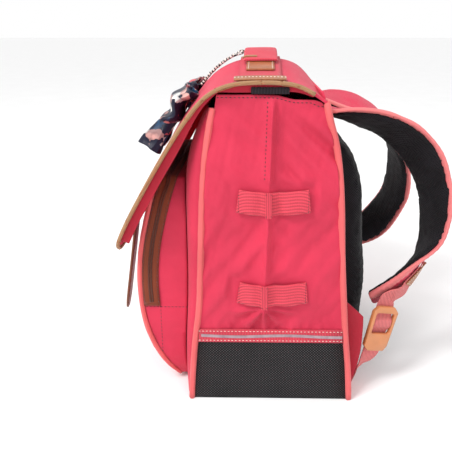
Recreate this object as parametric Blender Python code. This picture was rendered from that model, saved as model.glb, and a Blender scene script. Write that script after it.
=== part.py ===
"""School ransel: a soft satchel with a stiff flap, a zip pocket and padded shoulder straps.

Metres, +Z up, front at -Y, wearer's right at +X. The origin is the middle of the base, on the surface
that the bag stands on.
"""
import math

import bmesh
import bpy
from mathutils import Matrix, Vector

# Bag
WIDTH = 0.290
BASE_DEPTH = 0.183
HEIGHT = 0.353
CLOTH = 0.0018
BOTTOM_THICKNESS = 0.003
GAP = 0.0003
SEAT = 0.0006
FLOOR_CLEARANCE = 0.0004
FRONT_BULGE = 0.025
FRONT_SQUARENESS = 8.0
FRONT_PANEL_SHARE = 0.96
BACK_PANEL_SHARE = 0.975
BASE_SIDE_HEIGHT = 0.083
BAND_WIDTH = 0.016
BAND_THICKNESS = 0.0012
PIPING_RADIUS = 0.0029

# Side relief
SIDE_SWELL = 0.004
PLEAT_HEIGHT = 0.005
PLEAT_WIDTH = 0.0055
PLEAT_LEAN = 0.008
PLEAT_FOOT = 0.116
FOLD_HEIGHT = 0.0032
FOLD_WIDTH = 0.0045
TOP_EDGE_DIP = 0.005
SIDE_ROWS = (0.0, 0.034, 0.066, 0.11, 0.16, 0.24, 0.34, 0.45, 0.56, 0.67, 0.78, 0.88, 0.95, 1.0)

# Front pocket
POCKET_WIDTH = 0.236
POCKET_FOOT = 0.005
POCKET_TOP = 0.258
POCKET_CORNER = 0.021
POCKET_REACH = 0.151
POCKET_SWELL = 0.005
POCKET_PIPING_RADIUS = 0.0026
ZIP_WIDTH = 0.019
ZIP_THICKNESS = 0.0010
ZIP_FOOT = 0.096

# Flap
FLAP_OVERHANG = 0.002
FLAP_RISE = 0.014
FLAP_DROP = 0.183
FLAP_FORWARD = 0.0775
FLAP_THICKNESS = 0.003
FLAP_DOME = 0.015
FLAP_CORNER = 0.024
FLAP_CORNER_STEPS = (0.35, 0.65, 0.86, 1.0)
LIP_DEPTH = 0.0125
LIP_THICKNESS = 0.0016
BINDING_RADIUS = 0.0025
LIP_WEBBING_LENGTH = 0.038
LIP_WEBBING_HEIGHT = 0.0068
LIP_WEBBING_SHIFT = 0.010
LIP_WEBBING_DROP = 0.0022
WEBBING_THICKNESS = 0.0013

# Handle
HANDLE_CENTRE = -0.013
BASE_STRIP_WIDTH = 0.044
BASE_STRIP_THICKNESS = 0.0015
TIP_WIDTH = 0.052
TIP_LENGTH = 0.009
ANCHOR_WIDTH = 0.030
ANCHOR_INNER = 0.050
ANCHOR_OUTER = 0.098
ANCHOR_THICKNESS = 0.0022
GRIP_HALF_LENGTH = 0.064
GRIP_WIDTH = 0.040
GRIP_THICKNESS = 0.0038
GRIP_RISE = 0.0039

# Scarf bow
SCARF_CLOTH = 0.0014
SCARF_PLACE = 0.087
SCARF_LOOP_LENGTH = 0.070
SCARF_LOOP_WIDTH = 0.048
SCARF_LOOP_FULLNESS = 0.012
SCARF_LOOP_DROOP = 9.0
SCARF_LOOP_SINK = 0.10
SCARF_TAIL_RUN = 0.038
SCARF_TAIL_RADIUS = 0.0150
SCARF_TAIL_SPREAD = 0.015
SCARF_TAIL_LIFT = 0.0165
SCARF_FLUTES = 3
KNOT_RADIUS = 0.013
KNOT_FLATNESS = 0.72
SCARF_CORD_RADIUS = 0.0015
CORD_START = -0.078
CORD_SPREAD = 0.009
CORD_ARCH = 0.004
GRIP_CLEAR = 0.006

# Closure straps
CLOSURE_OFFSET = 0.062
CLOSURE_WIDTH = 0.022
CLOSURE_THICKNESS = 0.0028
CLOSURE_LENGTH = 0.124
CLOSURE_LEAN = 0.16

# Elastic side loops
ELASTIC_WIDTH = 0.025
ELASTIC_THICKNESS = 0.0015
LOOP_START = -0.036
LOOP_LENGTH = 0.075
LOOP_STANDOFF = 0.0028
LOOP_SAG = 0.003
UPPER_LOOP_HEIGHT = 0.244
LOWER_LOOP_HEIGHT = 0.138
KEEPER_WIDTH = 0.007

# Back
PAD_WIDTH = 0.216
PAD_THICKNESS = 0.032
PAD_SQUARENESS = 8.0
WING_REACH = 0.023
WING_THICKNESS = 0.0025
WING_PLANE = 0.131

# Shoulder straps
STRAP_REACH = 0.190
STRAP_WIDTH = 0.062
STRAP_SHELL_THICKNESS = 0.0062
STRAP_MESH_THICKNESS = 0.0045
PATCH_WIDTH = 0.020
PATCH_THICKNESS = 0.0016
STRAP_WEBBING_WIDTH = 0.024
BUCKLE_WIDTH = 0.034
BUCKLE_LENGTH = 0.056
BUCKLE_THICKNESS = 0.0055
BUCKLE_BAR = 0.004
BUCKLE_TOP_BAR = 0.008
BUCKLE_WINDOW = 0.026
BUCKLE_LIP = 0.002
BUCKLE_CORNER = 0.006
WINDOW_CORNER = 0.002
BUCKLE_TURN = 22.0
BUCKLE_TILT = 15.0
BUCKLE_PLACE = (0.117, 0.1280, 0.078)
LOWER_WEBBING_FOOT = 0.117
FOOT_HEIGHT = 0.005
FOOT_BEND = 0.016
FOOT_LEAN = 0.008

HALF = WIDTH / 2
HALF_BASE = BASE_DEPTH / 2
FLAP_HALF = HALF + FLAP_OVERHANG
FLAP_TOP = HEIGHT + FLAP_RISE
FLAP_REACH = HALF_BASE + FLAP_FORWARD
PANEL_HALF = HALF - PIPING_RADIUS - GAP - SEAT

# Seam lines of the bag, from the base to the top: height as a share of HEIGHT, front and back seam as
# shares of HALF_BASE, and the front panel's swell as a share of FRONT_BULGE.
SEAM_COLUMNS = ("height", "front", "back", "swell")
SEAMS = (
    (0.000, -1.000, 1.000, 0.32),
    (0.120, -0.972, 0.970, 0.52),
    (0.235, -0.928, 0.918, 0.60),
    (0.323, -0.874, 0.890, 0.72),
    (0.428, -0.852, 0.852, 0.76),
    (0.626, -0.820, 0.808, 0.88),
    (0.720, -0.798, 0.786, 0.96),
    (0.810, -0.766, 0.744, 0.98),
    (0.890, -0.722, 0.688, 0.72),
    (0.960, -0.666, 0.580, 0.36),
    (1.000, -0.644, 0.524, 0.20),
)

# Front pocket's depth in front of the seam: height as a share of POCKET_TOP, piping line as a share of
# POCKET_REACH.
POCKET_COLUMNS = ("height", "reach")
POCKET_SECTIONS = (
    (0.00, 0.722),
    (0.06, 0.762),
    (0.12, 0.834),
    (0.18, 0.894),
    (0.25, 0.947),
    (0.33, 0.980),
    (0.43, 1.000),
    (0.54, 1.003),
    (0.66, 0.987),
    (0.75, 0.954),
    (0.91, 0.887),
    (1.00, 0.840),
)

# Flap's near edge, from the back over the top to the front: reach as a share of FLAP_REACH, drop as a
# share of FLAP_DROP, lip's depth as a share of LIP_DEPTH, and dome as a share of FLAP_DOME.
FLAP_COLUMNS = ("reach", "drop", "lip", "dome")
FLAP_SECTIONS = (
    (0.325, 0.115, 0.10, 0.10),
    (0.249, 0.066, 0.25, 0.45),
    (0.154, 0.016, 0.60, 0.95),
    (0.050, 0.002, 0.86, 1.00),
    (-0.070, 0.000, 0.90, 1.00),
    (-0.225, 0.005, 0.86, 0.96),
    (-0.337, 0.038, 0.38, 0.80),
    (-0.426, 0.093, 0.52, 0.62),
    (-0.520, 0.198, 0.68, 0.52),
    (-0.615, 0.328, 1.00, 0.46),
    (-0.714, 0.475, 1.00, 0.40),
    (-0.817, 0.639, 1.00, 0.34),
    (-0.915, 0.797, 1.00, 0.26),
    (-0.985, 0.925, 1.05, 0.18),
    (-1.000, 1.000, 1.10, 0.12),
)

# Back pad: height as a share of HEIGHT, thickness as a share of PAD_THICKNESS, half width as a share
# of half PAD_WIDTH.
PAD_COLUMNS = ("height", "thickness", "width")
PAD_SECTIONS = (
    (0.055, 0.20, 0.88),
    (0.075, 0.40, 0.96),
    (0.120, 0.62, 1.00),
    (0.230, 0.78, 1.00),
    (0.340, 0.98, 1.00),
    (0.400, 1.02, 1.00),
    (0.490, 1.00, 1.00),
    (0.600, 1.00, 1.00),
    (0.690, 0.98, 1.00),
    (0.750, 0.86, 0.99),
    (0.800, 0.68, 0.97),
    (0.830, 0.48, 0.92),
    (0.845, 0.20, 0.85),
)

# Shoulder strap's middle line: reach as a share of STRAP_REACH, height as a share of HEIGHT, place
# across the back as a share of HALF, twist of the right and left strap in degrees, width as a share of
# STRAP_WIDTH.
STRAP_COLUMNS = ("reach", "height", "across", "twist_right", "twist_left", "width")
STRAP_SECTIONS = (
    (0.334, 0.920, 0.46, 0, 0, 0.80),
    (0.425, 0.915, 0.48, 10, 10, 0.96),
    (0.520, 0.904, 0.52, 20, 18, 1.00),
    (0.613, 0.894, 0.55, 26, 18, 1.00),
    (0.712, 0.873, 0.57, 31, 15, 1.00),
    (0.812, 0.834, 0.58, 35, 12, 1.00),
    (0.868, 0.801, 0.58, 35, 7, 1.00),
    (0.916, 0.762, 0.585, 32, 0, 1.00),
    (0.972, 0.692, 0.59, 24, -8, 1.00),
    (0.994, 0.620, 0.60, 17, -15, 1.00),
    (0.992, 0.567, 0.61, 11, -20, 1.00),
    (0.978, 0.510, 0.62, 2, -24, 1.00),
    (0.934, 0.462, 0.63, -16, -24, 0.98),
    (0.880, 0.411, 0.645, -33, -33, 0.92),
    (0.806, 0.360, 0.66, -45, -45, 0.82),
    (0.722, 0.330, 0.67, -50, -50, 0.68),
    (0.625, 0.305, 0.675, -50, -50, 0.46),
)

PATCH_FRAME = 17

# Wing's outline in the side view: height as a share of HEIGHT, distance behind the back panel as a share
# of WING_REACH.
WING_OUTLINE = (
    (0.030, 0.10),
    (0.080, 0.38),
    (0.150, 0.76),
    (0.285, 1.00),
    (0.343, 0.10),
    (0.343, 0.00),
    (0.200, 0.00),
    (0.100, 0.00),
    (0.030, 0.00),
)


def clear_scene():
    """Start from an empty scene."""
    for item in list(bpy.data.objects):
        bpy.data.objects.remove(item, do_unlink=True)


def material(name, colour, roughness=0.8, metallic=0.0):
    """One plain finish."""
    finish = bpy.data.materials.new(name)
    finish.use_nodes = True
    shader = finish.node_tree.nodes["Principled BSDF"]
    shader.inputs["Base Color"].default_value = (*colour, 1.0)
    shader.inputs["Roughness"].default_value = roughness
    shader.inputs["Metallic"].default_value = metallic
    finish.diffuse_color = (*colour, 1.0)
    return finish


def table_value(table, columns, key, share):
    """A column's value at a share of the first column, on a smooth curve through the rows."""
    index = columns.index(key)
    first = [row[0] for row in table]
    rising = first[-1] > first[0]
    share = min(max(share, min(first)), max(first))
    row = 0
    while row < len(table) - 2 and (share > first[row + 1]) == rising and share != first[row + 1]:
        row += 1
    return row_value(table, index, row + (share - first[row]) / (first[row + 1] - first[row]))


def row_value(table, index, place):
    """A column's value between rows, where place counts rows from 0."""
    last = len(table) - 1
    low = min(max(int(math.floor(place)), 0), last - 1)
    part = place - low
    before = table[max(low - 1, 0)][index]
    start = table[low][index]
    end = table[low + 1][index]
    after = table[min(low + 2, last)][index]
    slope_in = (end - before) / 2
    slope_out = (after - start) / 2
    square = part * part
    cube = square * part
    return ((2 * cube - 3 * square + 1) * start + (cube - 2 * square + part) * slope_in
            + (3 * square - 2 * cube) * end + (cube - square) * slope_out)


def smooth_step(low, high, value):
    """0 below low, 1 above high, eased between."""
    part = min(max((value - low) / (high - low), 0.0), 1.0)
    return part * part * (3 - 2 * part)


def signed_power(value, power):
    """A power that keeps the sign."""
    return math.copysign(abs(value) ** power, value)


def finish_object(name, mesh, finish):
    """Link a bmesh as a named object."""
    data = bpy.data.meshes.new(name)
    mesh.to_mesh(data)
    mesh.free()
    data.materials.append(finish)
    data.shade_smooth()
    item = bpy.data.objects.new(name, data)
    bpy.context.scene.collection.objects.link(item)
    return item


def sheet(name, rows, columns, place, thickness, finish, flip=False, ring=False):
    """A cloth wall: place(across, up) gives its outer face, and the wall is set behind it."""
    mesh = bmesh.new()
    count = columns if ring else columns + 1
    grid = []
    for row in range(rows + 1):
        grid.append([mesh.verts.new(place(column / columns, row / rows)) for column in range(count)])
    for row in range(rows):
        for column in range(columns):
            after = (column + 1) % count
            corners = [grid[row][column], grid[row][after], grid[row + 1][after], grid[row + 1][column]]
            if flip:
                corners.reverse()
            mesh.faces.new(corners)
    item = finish_object(name, mesh, finish)
    wall = item.modifiers.new("wall", "SOLIDIFY")
    wall.thickness = thickness
    wall.offset = -1.0
    return item


def loft(name, rings, finish, closed=False, paired=False):
    """A closed solid through rings of equal count, capped at both ends unless it closes on itself.

    Paired splits both faces of a flat band along the same diagonals.
    """
    mesh = bmesh.new()
    loops = [[mesh.verts.new(point) for point in ring] for ring in rings]
    pairs = list(zip(loops, loops[1:]))
    if closed:
        pairs.append((loops[-1], loops[0]))
    else:
        mesh.faces.new(list(reversed(loops[0])))
        mesh.faces.new(loops[-1])
    for near, far in pairs:
        count = len(near)
        for index in range(count):
            after = (index + 1) % count
            if paired and index >= count // 2:
                mesh.faces.new((near[index], near[after], far[index]))
                mesh.faces.new((near[after], far[after], far[index]))
            else:
                mesh.faces.new((near[index], near[after], far[after]))
                mesh.faces.new((near[index], far[after], far[index]))
    bmesh.ops.recalc_face_normals(mesh, faces=mesh.faces)
    bmesh.ops.triangulate(mesh, faces=[face for face in mesh.faces if len(face.verts) > 4])
    return finish_object(name, mesh, finish)


def directions(points, closed=False):
    """The direction of travel at each point."""
    last = len(points) - 1
    result = []
    for index in range(len(points)):
        if closed:
            before, after = points[index - 1], points[(index + 1) % len(points)]
        else:
            before, after = points[max(index - 1, 0)], points[min(index + 1, last)]
        result.append((after - before).normalized())
    return result


def tube(name, points, radius, sides, finish, closed=False, guide=Vector((0, 0, 1))):
    """A round piping or cord along points."""
    rings = []
    for point, ahead in zip(points, directions(points, closed)):
        across = ahead.cross(guide)
        if across.length < 0.2:
            across = ahead.cross(Vector((0, 1, 0)))
        across.normalize()
        up = across.cross(ahead).normalized()
        ring = []
        for side in range(sides):
            angle = 2 * math.pi * (side + 0.5) / sides
            ring.append(point + radius * (math.cos(angle) * across + math.sin(angle) * up))
        rings.append(ring)
    return loft(name, rings, finish, closed)


def ribbon(name, points, across, widths, thickness, finish):
    """A flat band on points: across gives its width direction, and its back face lies on the points."""
    rings = []
    for point, ahead, side, width in zip(points, directions(points), across, widths):
        side = (side - side.dot(ahead) * ahead).normalized()
        face = ahead.cross(side).normalized()
        half = side * width / 2
        rise = face * thickness
        rings.append([point - half, point + half, point + half + rise, point - half + rise])
    return loft(name, rings, finish, paired=True)


def plate(name, outline, thickness, finish):
    """A flat plate: outline points, thickened by the vector given."""
    return loft(name, [outline, [point + thickness for point in outline]], finish)


def front_seam(height):
    """Front corner seam's Y at a height."""
    return HALF_BASE * table_value(SEAMS, SEAM_COLUMNS, "front", height / HEIGHT)


def back_seam(height):
    """Back corner seam's Y at a height."""
    return HALF_BASE * table_value(SEAMS, SEAM_COLUMNS, "back", height / HEIGHT)


def front_point(turn, height, inset=0.0):
    """Front panel's face: turn runs 0 to 1 from one side seam to the other."""
    angle = math.pi * turn
    swell = FRONT_BULGE * table_value(SEAMS, SEAM_COLUMNS, "swell", height / HEIGHT)
    x = (PANEL_HALF - inset) * -signed_power(math.cos(angle), 2 / FRONT_SQUARENESS)
    y = front_seam(height) - swell * math.sin(angle) ** 0.8 + inset
    return Vector((x, y, height))


def front_face_y(x, height):
    """Front panel's Y at a place across it."""
    share = min(abs(x) / PANEL_HALF, 0.999)
    angle = math.acos(share ** (FRONT_SQUARENESS / 2))
    swell = FRONT_BULGE * table_value(SEAMS, SEAM_COLUMNS, "swell", height / HEIGHT)
    return front_seam(height) - swell * math.sin(angle) ** 0.8


def ridge(distance, width):
    """A rounded ridge's share of its height at a distance from its crest."""
    return math.exp(-(distance / width) ** 2)


def distance_to_run(y, z, start, end):
    """Distance from a place on the side to a straight fold, and the share along it."""
    run_y, run_z = end[0] - start[0], end[1] - start[1]
    share = ((y - start[0]) * run_y + (z - start[1]) * run_z) / (run_y * run_y + run_z * run_z)
    share = min(max(share, 0.0), 1.0)
    return math.hypot(y - start[0] - share * run_y, z - start[1] - share * run_z), share


def pleat_line(z):
    """Y of the side panel's central pleat at a height."""
    return -PLEAT_LEAN * (HEIGHT - z) / (HEIGHT - PLEAT_FOOT)


def side_folds():
    """Fan folds below the pleat and slanting folds above it, as runs in Y and Z."""
    foot = (pleat_line(PLEAT_FOOT), PLEAT_FOOT)
    hem = BASE_SIDE_HEIGHT + BAND_WIDTH / 2 + FOLD_WIDTH
    fan = [(foot, (HALF_BASE * share, hem)) for share in (-0.55, -0.31, 0.01, 0.36)]
    slants = [((0.15, 0.92), (0.66, 0.79)), ((0.10, 0.80), (0.62, 0.66)), ((-0.62, 0.80), (-0.20, 0.66))]
    upper = [((HALF_BASE * a, HEIGHT * b), (HALF_BASE * c, HEIGHT * d)) for (a, b), (c, d) in slants]
    return fan, upper


def side_relief(y, z):
    """How far the side panel stands out of its plane: swell, pleat and folds."""
    low = BASE_SIDE_HEIGHT + BAND_WIDTH / 2
    up = min(max((z - low) / (HEIGHT - low), 0.0), 1.0)
    front, back = front_seam(z), back_seam(z)
    over = min(max((y - front) / (back - front), 0.0), 1.0)
    hem = smooth_step(0.0, 0.06, up) * smooth_step(0.0, 0.05, 1 - up)
    edge = smooth_step(0.0, 0.10, over) * smooth_step(0.0, 0.10, 1 - over)
    relief = SIDE_SWELL * hem * math.sin(math.pi * over) * math.sin(math.pi * up)
    away = y - pleat_line(z)
    fan, upper = side_folds()
    raised = 0.0
    if z > PLEAT_FOOT:
        raised = PLEAT_HEIGHT * hem * ridge(away, PLEAT_WIDTH)
        relief -= PLEAT_HEIGHT / 3 * hem * ridge(away - 2.2 * PLEAT_WIDTH, PLEAT_WIDTH)
    for start, end in fan:
        distance, share = distance_to_run(y, z, start, end)
        height = PLEAT_HEIGHT + (0.5 * FOLD_HEIGHT - PLEAT_HEIGHT) * share ** 0.5
        raised = max(raised, height * ridge(distance, FOLD_WIDTH) * hem)
    relief += raised
    for start, end in upper:
        distance, share = distance_to_run(y, z, start, end)
        relief += 0.8 * FOLD_HEIGHT * math.sin(math.pi * share) * ridge(distance, 1.4 * FOLD_WIDTH) * edge
    return relief * edge


def side_top(y):
    """Height of the side panel's top hem."""
    return (HEIGHT - TOP_EDGE_DIP * smooth_step(0.0, 0.024, y)
            - 0.8 * TOP_EDGE_DIP * smooth_step(0.036, 0.047, y))


def side_limits(z):
    """Front and back edge of the side cloth, clear of both pipings."""
    room = PIPING_RADIUS + SEAT
    return front_seam(z) + room, back_seam(z) - room


def side_columns(z, share):
    """Y across the side cloth, with a column of points on the pleat's crest and on each flank."""
    front, back = side_limits(z)
    crest = pleat_line(z)
    marks = (0.0, 0.10, 0.22, 0.33, 0.42, 0.50, 0.58, 0.67, 0.78, 0.90, 1.0)
    near = 1.1 * PLEAT_WIDTH
    places = [front, front + 0.16 * (crest - front), front + 0.42 * (crest - front),
              crest - 3.2 * near, crest - near, crest, crest + near, crest + 2.2 * near,
              back - 0.50 * (back - crest), back - 0.18 * (back - crest), back]
    for index in range(len(marks) - 1):
        if share <= marks[index + 1]:
            part = (share - marks[index]) / (marks[index + 1] - marks[index])
            return places[index] + part * (places[index + 1] - places[index])
    return back


def flap_value(key, place):
    """A column of the flap's table between rows, where place counts rows from 0."""
    return row_value(FLAP_SECTIONS, FLAP_COLUMNS.index(key), place)


def flap_edge(place):
    """Y and height of the flap's edge line at a row place."""
    reach = FLAP_REACH * flap_value("reach", place)
    height = FLAP_TOP - FLAP_DROP * flap_value("drop", place)
    return reach, height


def flap_normal(place):
    """Outward direction of the flap's edge line in the side view."""
    step = 0.02
    last = len(FLAP_SECTIONS) - 1
    y0, z0 = flap_edge(max(place - step, 0))
    y1, z1 = flap_edge(min(place + step, last))
    ahead = Vector((0, y1 - y0, z1 - z0)).normalized()
    return Vector((0, ahead.z, -ahead.y))


def flap_point(place, x, lift=0.0):
    """The flap's outer face at a row place and an X, lifted along its normal."""
    y, z = flap_edge(place)
    dome = FLAP_DOME * flap_value("dome", place)
    rise = dome * (0.5 + 0.5 * math.cos(math.pi * min(abs(x) / FLAP_HALF, 1.0)))
    return Vector((x, y, z)) + flap_normal(place) * (rise + lift)


def flap_place(y):
    """Row place at which the flap's edge line has the given Y."""
    low, high = 0.0, float(len(FLAP_SECTIONS) - 1)
    for _ in range(40):
        middle = (low + high) / 2
        if flap_edge(middle)[0] > y:
            low = middle
        else:
            high = middle
    return (low + high) / 2


def build_bag(finishes):
    """Bottom, sides, front and back, with their pipings and bands."""
    coral, black, piping = finishes["coral"], finishes["base_mesh"], finishes["piping"]
    count = 12
    inset = CLOTH + GAP
    edge = [front_point(step / count, 0.0, inset) for step in range(count + 1)]
    back_y = back_seam(0.0) - inset
    edge += [Vector((HALF - inset, front_seam(0.0) + PIPING_RADIUS + 2 * GAP, 0.0)),
             Vector((HALF - inset, back_y - PIPING_RADIUS, 0.0)),
             Vector((PANEL_HALF - inset, back_y, 0.0)),
             Vector((inset - PANEL_HALF, back_y, 0.0)),
             Vector((inset - HALF, back_y - PIPING_RADIUS, 0.0)),
             Vector((inset - HALF, front_seam(0.0) + PIPING_RADIUS + 2 * GAP, 0.0))]
    plate("bottom_panel", edge, Vector((0, 0, BOTTOM_THICKNESS)), black)

    def front(across, up):
        return front_point(across, FLOOR_CLEARANCE + up * (FRONT_PANEL_SHARE * HEIGHT - FLOOR_CLEARANCE))

    def back(across, up):
        z = FLOOR_CLEARANCE + up * (BACK_PANEL_SHARE * HEIGHT - FLOOR_CLEARANCE)
        return Vector((PANEL_HALF * (1 - 2 * across), back_seam(z), z))

    sheet("front_panel", 10, 12, front, CLOTH, coral)
    sheet("back_panel", 10, 6, back, CLOTH, coral)

    for side, word in ((1, "right"), (-1, "left")):
        def base(across, up, side=side):
            z = FLOOR_CLEARANCE + up * (BASE_SIDE_HEIGHT - GAP / 2 - FLOOR_CLEARANCE)
            front_y, back_y = side_limits(z)
            return Vector((side * HALF, front_y + across * (back_y - front_y), z))

        def upper(across, up, side=side):
            low = BASE_SIDE_HEIGHT + GAP / 2
            share = SIDE_ROWS[round(up * (len(SIDE_ROWS) - 1))]
            y = side_columns(low + share * (HEIGHT - low), across)
            z = low + share * (side_top(y) - low)
            front_y, back_y = side_limits(z)
            y = min(max(y, front_y), back_y)
            return Vector((side * (HALF + side_relief(y, z)), y, z))

        def band(across, up, side=side):
            z = BASE_SIDE_HEIGHT + (up - 0.5) * BAND_WIDTH
            front_y, back_y = side_limits(z)
            place = front_y + across * (back_y - front_y)
            return Vector((side * (HALF + SEAT + BAND_THICKNESS), place, z))

        sheet(f"base_side_{word}", 3, 6, base, CLOTH, black, flip=side < 0)
        sheet(f"side_panel_{word}", len(SIDE_ROWS) - 1, 18, upper, CLOTH, coral, flip=side < 0)
        sheet(f"reflective_band_{word}", 1, 8, band, BAND_THICKNESS, finishes["webbing"], flip=side < 0)
        rows = 12
        low = FLOOR_CLEARANCE
        front_top = FRONT_PANEL_SHARE * HEIGHT
        back_top = 0.955 * HEIGHT
        corner = side * (HALF - SEAT)
        front_line = [Vector((corner, front_seam(z), z)) for z in
                      (low + (front_top - low) * row / rows for row in range(rows + 1))]
        back_line = [Vector((corner, back_seam(z), z)) for z in
                     (low + (back_top - low) * row / rows for row in range(rows + 1))]
        tube(f"front_piping_{word}", front_line, PIPING_RADIUS, 6, piping, guide=Vector((0, 1, 0)))
        tube(f"back_piping_{word}", back_line, PIPING_RADIUS, 6, piping, guide=Vector((0, 1, 0)))


def pocket_outline(turn):
    """Pocket's outline in the front view: X and height at a turn from 0 to 1, from the foot's middle."""
    half = POCKET_WIDTH / 2
    tall = POCKET_TOP - POCKET_FOOT
    corner = POCKET_CORNER
    arc = math.pi / 2 * corner
    runs = (half - corner, arc, tall - 2 * corner, arc, 2 * (half - corner), arc, tall - 2 * corner, arc,
            half - corner)
    length = turn % 1.0 * sum(runs)
    index = 0
    while index < len(runs) - 1 and length > runs[index]:
        length -= runs[index]
        index += 1
    low, high = POCKET_FOOT + corner, POCKET_TOP - corner
    flat = half - corner
    angle = length / corner
    if index == 0:
        return length, POCKET_FOOT
    if index == 1:
        return flat + corner * math.sin(angle), low - corner * math.cos(angle)
    if index == 2:
        return half, low + length
    if index == 3:
        return flat + corner * math.cos(angle), high + corner * math.sin(angle)
    if index == 4:
        return flat - length, POCKET_TOP
    if index == 5:
        return -flat - corner * math.sin(angle), high + corner * math.cos(angle)
    if index == 6:
        return -half, high - length
    if index == 7:
        return -flat - corner * math.cos(angle), low - corner * math.sin(angle)
    return -flat + length, POCKET_FOOT


def pocket_reach(height):
    """Y of the pocket's piping at a height."""
    return -POCKET_REACH * table_value(POCKET_SECTIONS, POCKET_COLUMNS, "reach", height / POCKET_TOP)


def build_pocket(finishes):
    """Front zip pocket: gusset, face, piping and zip tape."""
    turns = 36
    face_inset = POCKET_PIPING_RADIUS + GAP

    def scaled(turn, inset):
        x, z = pocket_outline(turn)
        middle = (POCKET_TOP + POCKET_FOOT) / 2
        half = POCKET_WIDTH / 2
        x *= (half - inset) / half
        z = middle + (z - middle) * (middle - POCKET_FOOT - inset) / (middle - POCKET_FOOT)
        return x, z

    def rim_point(turn):
        x, z = scaled(turn, 0.0)
        return Vector((x, pocket_reach(z), z))

    def rim_room(turn):
        ahead = (rim_point(turn + 0.5 / turns) - rim_point(turn - 0.5 / turns)).normalized()
        return (POCKET_PIPING_RADIUS + GAP) / math.sqrt(max(1 - ahead.y ** 2, 0.1))

    def gusset(across, up):
        x, z = scaled(across, 0.0)
        rear = front_face_y(x, z) - SEAT
        front = pocket_reach(z) + rim_room(across)
        return Vector((x, rear + up * (front - rear), z))

    def face(across, up):
        share = 1.0 - up * 0.97
        x, z = scaled(across, face_inset)
        middle = (POCKET_TOP + POCKET_FOOT) / 2
        z = middle + (z - middle) * share
        swell = POCKET_SWELL * (1 - share ** 3)
        return Vector((x * share, pocket_reach(z) - swell, z))

    sheet("pocket_gusset", 1, turns, gusset, CLOTH, finishes["coral"], ring=True)
    rim = [rim_point(step / turns) for step in range(turns)]
    tube("pocket_piping", rim, POCKET_PIPING_RADIUS, 5, finishes["piping"], closed=True,
         guide=Vector((0, 1, 0)))

    mesh = bmesh.new()
    rings = 3
    grid = []
    for ring in range(rings):
        grid.append([mesh.verts.new(face(step / turns, ring / rings)) for step in range(turns)])
    centre = mesh.verts.new(face(0.0, 1.0) * 1.0)
    centre.co.x = 0.0
    centre.co.z = (POCKET_TOP + POCKET_FOOT) / 2
    for ring in range(rings - 1):
        for step in range(turns):
            after = (step + 1) % turns
            mesh.faces.new((grid[ring][step], grid[ring][after], grid[ring + 1][after], grid[ring + 1][step]))
    for step in range(turns):
        mesh.faces.new((grid[-1][step], grid[-1][(step + 1) % turns], centre))
    item = finish_object("pocket_face", mesh, finishes["coral"])
    wall = item.modifiers.new("wall", "SOLIDIFY")
    wall.thickness = CLOTH
    wall.offset = -1.0

    first = 0
    while pocket_outline(first / turns)[1] < ZIP_FOOT:
        first += 1

    def tape(across, up):
        turn = (first + across * (turns - 2 * first)) / turns
        x, z = scaled(turn, -SEAT - ZIP_THICKNESS)
        front = pocket_reach(z) + rim_room(turn)
        return Vector((x, front + (1 - up) * ZIP_WIDTH, z))

    sheet("zip_tape", 1, turns - 2 * first, tape, ZIP_THICKNESS, finishes["zip"])


def flap_half_width(place):
    """Flap's half width at a row place, rounded at the lower corners."""
    end_y, end_z = flap_edge(len(FLAP_SECTIONS) - 1)
    y, z = flap_edge(place)
    rest = max(FLAP_CORNER - math.hypot(y - end_y, z - end_z), 0.0)
    return FLAP_HALF - FLAP_CORNER + math.sqrt(FLAP_CORNER ** 2 - rest ** 2)


def build_flap(finishes):
    """Flap, side lips, binding and the webbing on the lips."""
    last = len(FLAP_SECTIONS) - 1
    places = list(range(last)) + [last - 1 + share for share in FLAP_CORNER_STEPS]
    rows = len(places) - 1

    def panel(across, up):
        place = places[round(up * rows)]
        return flap_point(place, flap_half_width(place) * (2 * across - 1))

    sheet("flap_panel", rows, 12, panel, FLAP_THICKNESS, finishes["coral"], flip=True)

    for side, word in ((1, "right"), (-1, "left")):
        def lip(across, up, side=side):
            place = 1 + across * (last - 2)
            depth = LIP_DEPTH * flap_value("lip", place)
            top = flap_point(place, side * (flap_half_width(place) - SEAT), -FLAP_THICKNESS - GAP)
            return top - flap_normal(place) * (1 - up) * max(depth - FLAP_THICKNESS, LIP_THICKNESS)

        sheet(f"flap_lip_{word}", 1, last - 2, lip, LIP_THICKNESS, finishes["coral_lip"], flip=side > 0)
        patch = []
        middle_y = HANDLE_CENTRE + LIP_WEBBING_SHIFT
        top = FLAP_TOP - FLAP_THICKNESS / 2 - BINDING_RADIUS - LIP_WEBBING_DROP
        for share_y, share_z in ((-0.5, 0), (0.5, 0), (0.5, 1), (-0.5, 1)):
            patch.append(Vector((side * (FLAP_HALF + GAP), middle_y + share_y * LIP_WEBBING_LENGTH,
                                 top - share_z * LIP_WEBBING_HEIGHT)))
        plate(f"lip_webbing_{word}", patch, Vector((side * WEBBING_THICKNESS, 0, 0)), finishes["black"])

    out = BINDING_RADIUS + GAP
    line = []
    end_normal = flap_normal(last)
    ahead = Vector((0, -end_normal.z, end_normal.y))
    for place in places[1:]:
        half = flap_half_width(place)
        level = (half - FLAP_HALF + FLAP_CORNER) / FLAP_CORNER
        slope = math.sqrt(max(1 - level * level, 0.0))
        line.append(flap_point(place, half, -FLAP_THICKNESS / 2) + out * Vector((level, 0, 0))
                    + out * slope * ahead)
    flat = FLAP_HALF - FLAP_CORNER
    for share in (0.5, 0.0):
        line.append(flap_point(last, flat * share, -FLAP_THICKNESS / 2) + out * ahead)
    mirrored = [Vector((-point.x, point.y, point.z)) for point in reversed(line[:-1])]
    tube("flap_binding", line + mirrored, BINDING_RADIUS, 6, finishes["binding"])


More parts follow.
